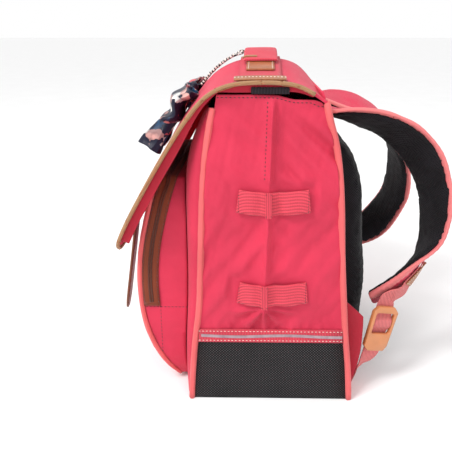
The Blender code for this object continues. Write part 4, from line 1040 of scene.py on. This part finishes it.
class RANSEL_OT_dress_bag(bpy.types.Operator):
    """Cloth of the bag: base, sides, front and back, with pipings, reflective band and seams."""

    bl_idname = "ransel.dress_bag"
    bl_label = "Bag"

    def execute(self, context):
        dress("bottom_panel", "black_base", 1)
        front = dress("front_panel", "coral_cloth", 3, longest=CLOTH_GRAIN)
        warp(front, front_field)
        back = dress("back_panel", "coral_cloth", 3)
        warp(back, reach_flap)
        sew_runs, dark_runs = [], []
        for side, word in SIDES:
            base = dress(f"base_side_{word}", "black_base", 3)
            warp(base, lambda point, side=side: (
                side * 0.0009 * ripple(point, 0.045, seed=61.0) * ease(0.0, 0.012, point[2])
                * ease(0.083, 0.070, point[2]), 0.0, 0.0))
            panel = dress(f"side_panel_{word}", "coral_cloth", 3, longest=SIDE_GRAIN)
            warp(panel, side_field(side))
            band = dress(f"reflective_band_{word}", "coral_webbing", 3)
            dress(f"front_piping_{word}", "light_piping", 2, puckers(0.006, 0.0002, 0.0007))
            piping = dress(f"back_piping_{word}", "light_piping", 2, puckers(0.006, 0.0002, 0.0007))
            warp(piping, reach_flap)
            self.trim_band(side, word, band, sew_runs)
            self.sew_panel(side, panel, dark_runs)
        sew("band_stitches", sew_runs)
        sew("side_seam_stitches", dark_runs, "dark_thread")
        return {"FINISHED"}

    @staticmethod
    def trim_band(side, word, band, runs):
        """Two rows of pale stitches on the band and the grey tape between them."""
        lo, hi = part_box(f"reflective_band_{word}")
        tree = surface_tree(band)
        middle, row = (lo.z + hi.z) / 2, (hi.z - lo.z) / 2 - 0.0022
        for z in (middle - row, middle + row):
            runs.append(from_side(tree, side, (lo.y + 0.002, z), (hi.y - 0.002, z), 40))
        places, facings = from_side(tree, side, (lo.y + 0.001, middle), (hi.y - 0.001, middle), 60)
        wavy = [place + Vector((0, 0, 0.0009 * math.sin(place.y * 55 + 0.6))) for place in places]
        trim_strip(f"reflective_tape_{word}", wavy, facings, 0.0034, 0.0004, "reflective_tape")

    @staticmethod
    def sew_panel(side, panel, runs):
        """Hem stitches below the side's top edge and a line beside the pleat."""
        lo, hi = SIDE_BOXES[side]
        tree = surface_tree(panel)
        hem = [Vector((side * LOOK_FROM_SIDE, point.y, point.z)) for point in side_hem(lo, hi, 0.0030)]
        runs.append(look_along(tree, hem, (-side, 0, 0)))
        runs.append(from_side(tree, side, (-0.0055, hi.z - 0.008), (-0.0080, hi.z - 0.085), 30))


class RANSEL_OT_dress_pocket(bpy.types.Operator):
    """Front pocket: puffed face, side wall, piping, and the zip with its teeth and seams."""

    bl_idname = "ransel.dress_pocket"
    bl_label = "Front pocket"

    def execute(self, context):
        gusset = dress("pocket_gusset", "coral_cloth", 3, longest=GUSSET_GRAIN)
        warp(gusset, gusset_field)
        face = dress("pocket_face", "coral_cloth", 3)
        warp(face, pocket_field)
        dress("pocket_piping", "light_piping", 2, puckers(0.006, 0.0002))
        tape = dress("zip_tape", "zip_tape", 2)
        tree = surface_tree(tape)
        runs = {share: self.zip_line(tree, share) for share in (0.07, 0.43, 0.57, 0.93)}
        tooth = tooth_item(0.0010, 0.0021, 0.0014)
        repeat_along("zip_teeth", [runs[0.43], runs[0.57]], tooth, sizes().tooth_step, "zip_teeth")
        sew("zip_stitches", [runs[0.07], runs[0.93]], "dark_thread")
        lower = []
        wall = surface_tree(gusset)
        lo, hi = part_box("pocket_gusset")
        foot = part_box("zip_tape")[0].z - 0.002
        middle = lo.y + 0.020
        for side, _ in SIDES:
            lower.append(from_side(wall, side, (lo.y + 0.004, foot), (hi.y, foot), 20))
            lower.append(from_side(wall, side, (middle, foot), (middle, lo.z + 0.02), 24))
        sew("gusset_stitches", lower, "dark_thread")
        return {"FINISHED"}

    @staticmethod
    def zip_line(tree, share):
        """A line on the zip tape at a share of its width, up one side, over the top and down the other."""
        lo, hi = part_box("zip_tape")
        columns = {}
        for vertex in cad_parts["zip_tape"].data.vertices:
            columns.setdefault(round(vertex.co.z, 3), []).append(vertex.co.y)
        heights = sorted(columns)
        near = [min(columns[height]) for height in heights]
        far = [max(columns[height]) for height in heights]

        def depth(z):
            front, rear = np.interp(z, heights, near), np.interp(z, heights, far)
            return front + share * (rear - front)

        corner = POCKET_CORNER
        half = hi.x - corner
        outline = [Vector((hi.x, 0, lo.z + (hi.z - corner - lo.z) * step / 24)) for step in range(24)]
        outline += [Vector((half + corner * math.cos(angle), 0, hi.z - corner + corner * math.sin(angle)))
                    for angle in (math.pi / 2 * step / 8 for step in range(9))]
        outline += [Vector((half * (1 - step / 16), 0, hi.z)) for step in range(1, 17)]
        outline += [Vector((-point.x, 0, point.z)) for point in reversed(outline[:-1])]
        centre = Vector((0, 0, hi.z - 2 * corner))
        places, facings = [], []
        for point in outline:
            level = Vector((point.x, depth(point.z), point.z))
            if point.z < centre.z:
                aim = Vector((-math.copysign(1, point.x), 0, 0))
            else:
                inner = Vector((min(max(point.x, -half), half), 0, hi.z - corner))
                aim = Vector((inner.x - point.x, 0, inner.z - point.z)).normalized()
            hit, facing, _, _ = tree.ray_cast(level - aim * 0.02, aim)
            if hit is None:
                continue
            places.append(hit - aim * 0.0001)
            facings.append(facing if facing.dot(aim) < 0 else -facing)
        return places, facings


class RANSEL_OT_dress_flap(bpy.types.Operator):
    """Flap with its lips, binding, webbing patches and seams."""

    bl_idname = "ransel.dress_flap"
    bl_label = "Flap"

    def execute(self, context):
        flap = dress("flap_panel", "coral_cloth", 3, longest=CLOTH_GRAIN)
        warp(flap, flap_field)
        for side, word in SIDES:
            lip = dress(f"flap_lip_{word}", "coral_lip", 3)
            if side < 0:
                warp(lip, self.deepen)
            dress(f"lip_webbing_{word}", "black_webbing", 1, bevel=0.0003)
        binding = dress("flap_binding", "tan_binding", 2, lambda point, normal: -0.0003)
        tree = surface_tree(binding)
        runs = []
        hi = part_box("flap_binding")[1]
        for side, word in SIDES:
            places, facings = self.binding_run(tree, side)
            runs.append((places, facings))
            trim_strip(f"binding_seam_{word}", places, facings, 0.0014, 0.0003, "tan_leather")
        sew("binding_stitches", runs)
        top = surface_tree(flap)
        rows = []
        for side, _ in SIDES:
            for inset in (0.006, 0.009):
                x = side * (hi.x - inset)
                rows.append(from_above(top, (x, hi.y - 0.01), (x, -0.145), 60))
        sew("flap_stitches", rows, "dark_thread")
        return {"FINISHED"}

    @staticmethod
    def deepen(point):
        """Lets the far lip hang a little lower over the bag's dipped rear top."""
        low = ease(0.345, 0.325, point[2]) * ease(0.0, 0.02, point[1])
        return (0.0, 0.0, -0.009 * low)

    @staticmethod
    def binding_run(tree, side):
        """A line along the outside of the binding."""
        nodes = [vertex.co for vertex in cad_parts["flap_binding"].data.vertices]
        outer = [point for point in nodes if point.x * side > 0.14]
        ordered = sorted(outer, key=lambda point: math.atan2(point.z - 0.25, point.y + 0.02) % (2 * math.pi))
        places, facings = [], []
        for step in range(0, len(ordered) - 6, 6):
            middle = sum((point for point in ordered[step:step + 6]), Vector()) / 6
            hit, facing, _, _ = tree.ray_cast(Vector((side * 0.2, middle.y, middle.z)), Vector((-side, 0, 0)))
            if hit:
                places.append(hit)
                facings.append(facing)
        return places, facings


class RANSEL_OT_dress_handle(bpy.types.Operator):
    """Handle: webbing strip, leather tips and anchors, and the grip with its leather edge."""

    bl_idname = "ransel.dress_handle"
    bl_label = "Handle"

    def execute(self, context):
        strip = dress("handle_base_strip", "coral_webbing", 2)
        runs, pale = [], []
        lo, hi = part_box("handle_base_strip")
        tree = surface_tree(strip)
        for side, word in SIDES:
            end = lo.x + 0.009 if side < 0 else hi.x - 0.009
            pale.append(from_above(tree, (end, lo.y), (end, hi.y), 16))
            tip = dress(f"handle_tip_{word}", "tan_leather", 2, crease=0.7)
            warp(tip, self.tip_fold(side))
            anchor = dress(f"handle_anchor_{word}", "brown_leather", 2, crease=0.8)
            low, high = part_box(f"handle_tip_{word}")
            face = surface_tree(tip)
            x = (low.x + high.x) / 2 - side * 0.004
            pale.append(from_above(face, (x, low.y + 0.001), (x, high.y - 0.001), 24))
            low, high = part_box(f"handle_anchor_{word}")
            face = surface_tree(anchor)
            for y in (low.y + 0.0025, high.y - 0.0025):
                runs.append(from_above(face, (low.x + 0.002, y), (high.x - 0.002, y), 24))
        grip = dress("handle_grip", "coral_webbing", 3, crease=0.3)
        warp(grip, lambda point: (0.0, 0.0, 0.0005 * ripple(point, 0.012, (1.0, 0.4, 1.0), 71.0)))
        self.edge_grip(grip)
        sew("strip_stitches", pale)
        sew("leather_stitches", runs)
        return {"FINISHED"}

    @staticmethod
    def tip_fold(side):
        """Folds the leather tip a little way over the webbing strip."""
        lo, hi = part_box("handle_tip_right")

        def field(point):
            inner = ease(hi.x - 0.002, lo.x, point[0] * side)
            return (-side * 0.005 * inner, 0.0, 0.0022 * inner)

        return field

    @staticmethod
    def edge_grip(grip):
        """Beige leather edges over the front corner of the grip, near its ends."""
        lo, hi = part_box("handle_grip")
        tree = surface_tree(grip)
        for side, word in SIDES:
            x = side * (hi.x - 0.007)
            places, facings = from_above(tree, (x, lo.y + 0.0006), (x, lo.y * 0.6 + hi.y * 0.4), 30)
            trim_strip(f"grip_edge_{word}", places, facings, 0.0030, 0.0014, "tan_binding")


class RANSEL_OT_dress_scarf(bpy.types.Operator):
    """Satin scarf: knot, loops and fluted tails, its speckled cord and a striped ribbon tab."""

    bl_idname = "ransel.dress_scarf"
    bl_label = "Scarf"

    def execute(self, context):
        knot = dress("scarf_knot", "scarf_satin", 3, crease=0.0)
        warp(knot, satin_field(0.007, 0.0016, 81.0))
        centre = sum((vertex.co for vertex in knot.data.vertices), Vector()) / len(knot.data.vertices)
        for side, word in SIDES:
            loop = dress(f"scarf_loop_{word}", "scarf_satin", 4, crease=0.6)
            warp(loop, self.flutes(centre, 0.0300, 0.0036, side))
            warp(loop, satin_field(0.022, 0.0030, 85.0 + side))
            tail = dress(f"scarf_tail_{word}", "scarf_satin", 3, crease=0.6)
            self.line_inside(tail)
            warp(tail, satin_field(0.022, 0.0036, 95.0 + side))
        dress("scarf_cord", "speckled_cord", 2)
        self.bead_cord()
        self.ribbon_tab()
        return {"FINISHED"}

    @staticmethod
    def flutes(centre, pitch, depth, seed):
        """Folds that run along a loop, deeper away from the knot."""
        out = Vector((0.0, -0.80, 0.60))
        down = Vector((0.0, -0.60, -0.80))

        def field(point):
            away = Vector(point) - centre
            wave = math.sin(2 * math.pi * away.dot(down) / pitch + 2.2 * ripple(point, 0.03, seed=seed * 7.0))
            return tuple(out * depth * wave * ease(0.012, 0.040, abs(away.x)))

        return field

    @staticmethod
    def line_inside(cloth):
        """Gives the inner faces of a hollow tail the blush lining."""
        cloth.data.materials.append(finish_named("scarf_lining"))
        points = mesh_points(cloth.data)
        middles = [np.polyfit(points[:, 2], points[:, axis], 2) for axis in (0, 1)]
        for face in cloth.data.polygons:
            place = face.center
            axis = Vector((np.polyval(middles[0], place.z), np.polyval(middles[1], place.z), place.z))
            if face.normal.dot(place - axis) < 0:
                face.material_index = 1

    @staticmethod
    def bead_cord():
        """Black and white beads in turn along both runs of the cord."""
        light, dark = [], []
        for side, _ in SIDES:
            near = sorted((vertex.co.copy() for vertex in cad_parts["scarf_cord"].data.vertices
                           if vertex.co.x * side > 0.002), key=lambda point: point.y)
            group = 24
            line = [sum(near[start:start + group], Vector()) / group
                    for start in range(0, len(near) - group, group // 2)]
            up = [Vector((0, 0, 1))] * len(line)
            light.append((line, up))
            first = line[0].lerp(line[1], min(0.0019 / (line[1] - line[0]).length, 0.9))
            dark.append(([first] + line[1:], up))
        bead = stitch_item(0.0026, 0.0042, 0.0042)
        repeat_along("light_beads", light, bead, 0.0038, "thread")
        repeat_along("dark_beads", dark, stitch_item(0.0026, 0.0042, 0.0042), 0.0038, "black_webbing")

    @staticmethod
    def ribbon_tab():
        """A short striped ribbon that hangs below the bow, on the flap."""
        tree = surface_tree(bpy.data.objects["flap_panel_piece"])
        places, facings = lay_on(tree, (0.020, -0.25, 0.300), (0.026, -0.25, 0.268), (0, 1, 0), 12)
        if len(places) > 2:
            trim_strip("ribbon_tab", places, facings, 0.010, 0.0006, "striped_ribbon")


class RANSEL_OT_dress_closures(bpy.types.Operator):
    """Leather closure straps with their edge stitching; their leather is the brown darkened as painted shade.
    """

    bl_idname = "ransel.dress_closures"
    bl_label = "Closure straps"

    def execute(self, context):
        runs = []
        for _, word in SIDES:
            # The closure straps take the brown leather darkened as painted shade.
            strap = dress(f"closure_strap_{word}", "dark_leather", 2, crease=0.85)
            lo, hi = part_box(f"closure_strap_{word}")
            tree = surface_tree(strap)
            for x in (lo.x + 0.0025, hi.x - 0.0025):
                runs.append(lay_on(tree, (x, -0.3, hi.z - 0.003), (x, -0.3, lo.z + 0.012), (0, 1, 0), 40))
        sew("closure_stitches", runs)
        return {"FINISHED"}


class RANSEL_OT_dress_side_loops(bpy.types.Operator):
    """Ribbed elastic loops on both sides, with their keepers."""

    bl_idname = "ransel.dress_side_loops"
    bl_label = "Side loops"

    def execute(self, context):
        runs = []
        for side, word in SIDES:
            for level in ("upper", "lower"):
                loop = dress(f"side_loop_{level}_{word}", "elastic", 3)
                along_surface(loop, 1, 2)
                keeper = dress(f"keeper_{level}_{word}", "coral_webbing", 1, bevel=0.0003)
                lo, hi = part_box(f"side_loop_{level}_{word}")
                tree = surface_tree(loop)
                for y in (lo.y + 0.0028, hi.y - 0.0028):
                    runs.append(from_side(tree, side, (y, lo.z + 0.001), (y, hi.z - 0.001), 16))
                low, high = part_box(f"keeper_{level}_{word}")
                tree = surface_tree(keeper)
                for z in (low.z + 0.0022, high.z - 0.0022):
                    runs.append(from_side(tree, side, (low.y + 0.001, z), (high.y - 0.001, z), 6))
        sew("loop_stitches", runs, "dark_thread")
        return {"FINISHED"}


class RANSEL_OT_dress_back_pad(bpy.types.Operator):
    """Padded back in spacer mesh, bumpy above and quilted on the slant below."""

    bl_idname = "ransel.dress_back_pad"
    bl_label = "Back pad"

    def execute(self, context):
        lo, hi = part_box("back_pad")

        def relief(point, normal):
            outward = ease(-0.2, 0.3, normal[1])
            up = (point[2] - lo.z) / (hi.z - lo.z)
            slant = math.cos(2 * math.pi * (point[2] + abs(point[0]) * 0.8 + point[1] * 1.4) / 0.0105)
            quilted = 0.0009 * slant * ease(0.66, 0.50, up)
            bumpy = 0.0011 * ripple(point, 0.009, seed=101.0) * ease(0.50, 0.66, up)
            channel = -0.004 * math.exp(-(point[0] / 0.010) ** 2)
            return outward * (quilted + bumpy + channel) - 0.001

        puffed("back_pad", "black_mesh", 0.0025, sizes().puff_voxel, relief=relief)
        return {"FINISHED"}


class RANSEL_OT_dress_straps(bpy.types.Operator):
    """Shoulder straps: coral shell with a light edge, and the padded mesh inside."""

    bl_idname = "ransel.dress_straps"
    bl_label = "Shoulder straps"

    def execute(self, context):
        for _, word in SIDES:
            shell = dress(f"shoulder_strap_{word}", "coral_cloth", 3, self.quilting, crease=0.35)
            self.band_edges(shell)
            puffed(f"strap_mesh_{word}", "black_mesh", 0.0012, 0.0026, pressure=3.0,
                   relief=lambda point, normal: 0.0005 + 0.0004 * ripple(point, 0.007, seed=111.0))
        return {"FINISHED"}

    @staticmethod
    def band_edges(shell):
        """Gives the strap's two long edges an even band of light cloth."""
        shell.data.materials.append(finish_named("strap_edge"))
        points = mesh_points(shell.data)
        turns = np.arctan2(points[:, 2] - STRAP_MIDDLE[1], points[:, 1] - STRAP_MIDDLE[0])
        steps = np.linspace(turns.min(), turns.max(), 61)
        near, far = [], []
        for low, high in zip(steps, steps[1:]):
            across = points[(turns >= low) & (turns <= high), 0]
            near.append(across.min() if len(across) else near[-1])
            far.append(across.max() if len(across) else far[-1])
        middles = (steps[1:] + steps[:-1]) / 2
        for face in shell.data.polygons:
            place = face.center
            turn = math.atan2(place.z - STRAP_MIDDLE[1], place.y - STRAP_MIDDLE[0])
            inset = min(place.x - np.interp(turn, middles, near), np.interp(turn, middles, far) - place.x)
            if inset < STRAP_BAND:
                face.material_index = 1

    @staticmethod
    def quilting(point, normal):
        """Small pulls across the strap's edge, and slow bumps on its face."""
        rise, run = point[2] - STRAP_MIDDLE[1], point[1] - STRAP_MIDDLE[0]
        outward = ease(-0.1, 0.4, (normal[2] * rise + normal[1] * run) / math.hypot(rise, run))
        pulls = 0.5 + 0.5 * math.sin(math.atan2(rise, run) * 95 + 1.5 * ripple(point, 0.02, seed=121.0))
        return 0.0007 * pulls * abs(normal[0]) + 0.0009 * ripple(point, 0.018, seed=123.0) * outward


class RANSEL_OT_dress_strap_fittings(bpy.types.Operator):
    """Leather patches, webbing, ladder buckles and wings at the feet of the straps."""

    bl_idname = "ransel.dress_strap_fittings"
    bl_label = "Strap fittings"

    def execute(self, context):
        runs = []
        for _, word in SIDES:
            dress(f"buckle_{word}", "buckle_plastic", 0, bevel=0.0010, crease_angle=30.0, angle=40.0)
            for node in (f"upper_webbing_{word}", f"lower_webbing_{word}"):
                dress(node, "strap_webbing", 3, crease=0.8)
            patch = dress(f"strap_patch_{word}", "tan_leather", 2, crease=0.8)
            wing = dress(f"wing_{word}", "coral_lip", 2, crease=0.7)
            warp(wing, lambda point: (0.0010 * ripple(point, 0.02, seed=131.0), 0.0, 0.0))
            runs += self.patch_rim(patch)
        sew("patch_stitches", runs)
        return {"FINISHED"}

    @staticmethod
    def patch_rim(patch):
        """Runs just inside the long edges of a patch, on the face that looks back and down."""
        points = mesh_points(patch.data)
        middle = points.mean(0)
        _, _, axes = np.linalg.svd(points - middle, full_matrices=False)
        long, wide, out = (Vector(axis) for axis in axes)
        if out.dot(Vector((0, 0.6, -0.8))) < 0:
            out.negate()
        spread = points - middle
        reach = [np.abs(spread @ np.array(axis)).max() for axis in (long, wide)]
        tree = surface_tree(patch)
        runs = []
        for share in (-0.82, 0.82):
            start = Vector(middle) + wide * reach[1] * share - long * reach[0] * 0.9
            end = Vector(middle) + wide * reach[1] * share + long * reach[0] * 0.9
            runs.append(lay_on(tree, start, end, -out, 20))
        for share in (-0.86, 0.86):
            start = Vector(middle) + long * reach[0] * share - wide * reach[1] * 0.8
            end = Vector(middle) + long * reach[0] * share + wide * reach[1] * 0.8
            runs.append(lay_on(tree, start, end, -out, 14))
        return [run for run in runs if len(run[0]) > 2]


class RANSEL_OT_set_stage(bpy.types.Operator):
    """Pale floor, soft studio lights and the camera of the photograph."""

    bl_idname = "ransel.set_stage"
    bl_label = "Stage"

    def execute(self, context):
        self.floor()
        self.light("key_light", (0.95, -0.95, 1.75), 0.6, 29.0)
        self.light("fill_light", (1.7, 1.2, 0.9), 1.6, 2.0)
        self.light("top_light", (0.1, 0.3, 2.2), 1.4, 1.5)
        world = bpy.data.worlds.new("studio")
        world.use_nodes = True
        world.node_tree.nodes["Background"].inputs["Color"].default_value = (1.0, 1.0, 1.0, 1.0)
        world.node_tree.nodes["Background"].inputs["Strength"].default_value = 1.0
        context.scene.world = world
        context.scene.view_settings.view_transform = "Standard"
        self.camera(context)
        return {"FINISHED"}

    @staticmethod
    def floor():
        """A wide flat floor just below the base."""
        half = 30.0
        mesh = bmesh.new()
        turns = ((-1, -1), (1, -1), (1, 1), (-1, 1))
        corners = [mesh.verts.new((x * half, y * half, FLOOR_LEVEL)) for x, y in turns]
        mesh.faces.new(corners)
        data = bpy.data.meshes.new("floor")
        mesh.to_mesh(data)
        mesh.free()
        floor = link_piece("floor", data, "floor_paper")

    @staticmethod
    def light(name, place, size, power):
        """One soft square light, aimed at the bag's middle."""
        data = bpy.data.lights.new(name, "AREA")
        data.size = size
        data.energy = power
        lamp = bpy.data.objects.new(name, data)
        lamp.location = place
        aim = Vector((0, 0, 0.2)) - Vector(place)
        lamp.rotation_euler = aim.to_track_quat("-Z", "Y").to_euler()
        bpy.context.scene.collection.objects.link(lamp)

    @staticmethod
    def camera(context):
        """The photograph's camera."""
        data = bpy.data.cameras.new("camera")
        data.sensor_width = CAMERA_SENSOR
        data.lens = CAMERA_LENS
        data.shift_x, data.shift_y = CAMERA_SHIFT
        camera = bpy.data.objects.new("camera", data)
        pitch, yaw = CAMERA_PITCH, CAMERA_YAW
        ahead = Vector((-math.cos(yaw) * math.cos(pitch), -math.sin(yaw) * math.cos(pitch), -math.sin(pitch)))
        right = ahead.cross(Vector((0, 0, 1))).normalized()
        up = right.cross(ahead)
        turn = Matrix((right, up, -ahead)).transposed()
        camera.matrix_world = Matrix.Translation(CAMERA_PLACE) @ turn.to_4x4()
        context.scene.collection.objects.link(camera)
        context.scene.camera = camera


STEPS = (RANSEL_OT_dress_bag, RANSEL_OT_dress_pocket, RANSEL_OT_dress_flap, RANSEL_OT_dress_handle,
         RANSEL_OT_dress_scarf, RANSEL_OT_dress_closures, RANSEL_OT_dress_side_loops,
         RANSEL_OT_dress_back_pad, RANSEL_OT_dress_straps, RANSEL_OT_dress_strap_fittings,
         RANSEL_OT_set_stage)


class RANSEL_PT_panel(bpy.types.Panel):
    """The ransel's steps, colours and sizes in the 3D view's sidebar."""

    bl_idname = "RANSEL_PT_panel"
    bl_label = "School ransel"
    bl_space_type = "VIEW_3D"
    bl_region_type = "UI"
    bl_category = "Ransel"

    def draw(self, context):
        for step in STEPS:
            self.layout.operator(step.bl_idname)
        for settings in (context.scene.ransel_colours, context.scene.ransel_sizes):
            for key in settings.bl_rna.properties.keys():
                if key not in ("rna_type", "name"):
                    self.layout.prop(settings, key)


CLASSES = (RanselColours, RanselSizes, *STEPS, RANSEL_PT_panel)


def register():
    """Registers the classes and the scene's settings."""
    for item in CLASSES:
        bpy.utils.register_class(item)
    bpy.types.Scene.ransel_colours = bpy.props.PointerProperty(type=RanselColours)
    bpy.types.Scene.ransel_sizes = bpy.props.PointerProperty(type=RanselSizes)


def unregister():
    """Removes the scene's settings and the classes."""
    del bpy.types.Scene.ransel_sizes
    del bpy.types.Scene.ransel_colours
    for item in reversed(CLASSES):
        bpy.utils.unregister_class(item)


def main():
    """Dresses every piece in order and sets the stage."""
    register()
    for step in STEPS:
        group, name = step.bl_idname.split(".")
        getattr(getattr(bpy.ops, group), name)()


if __name__ == "__main__":
    main()
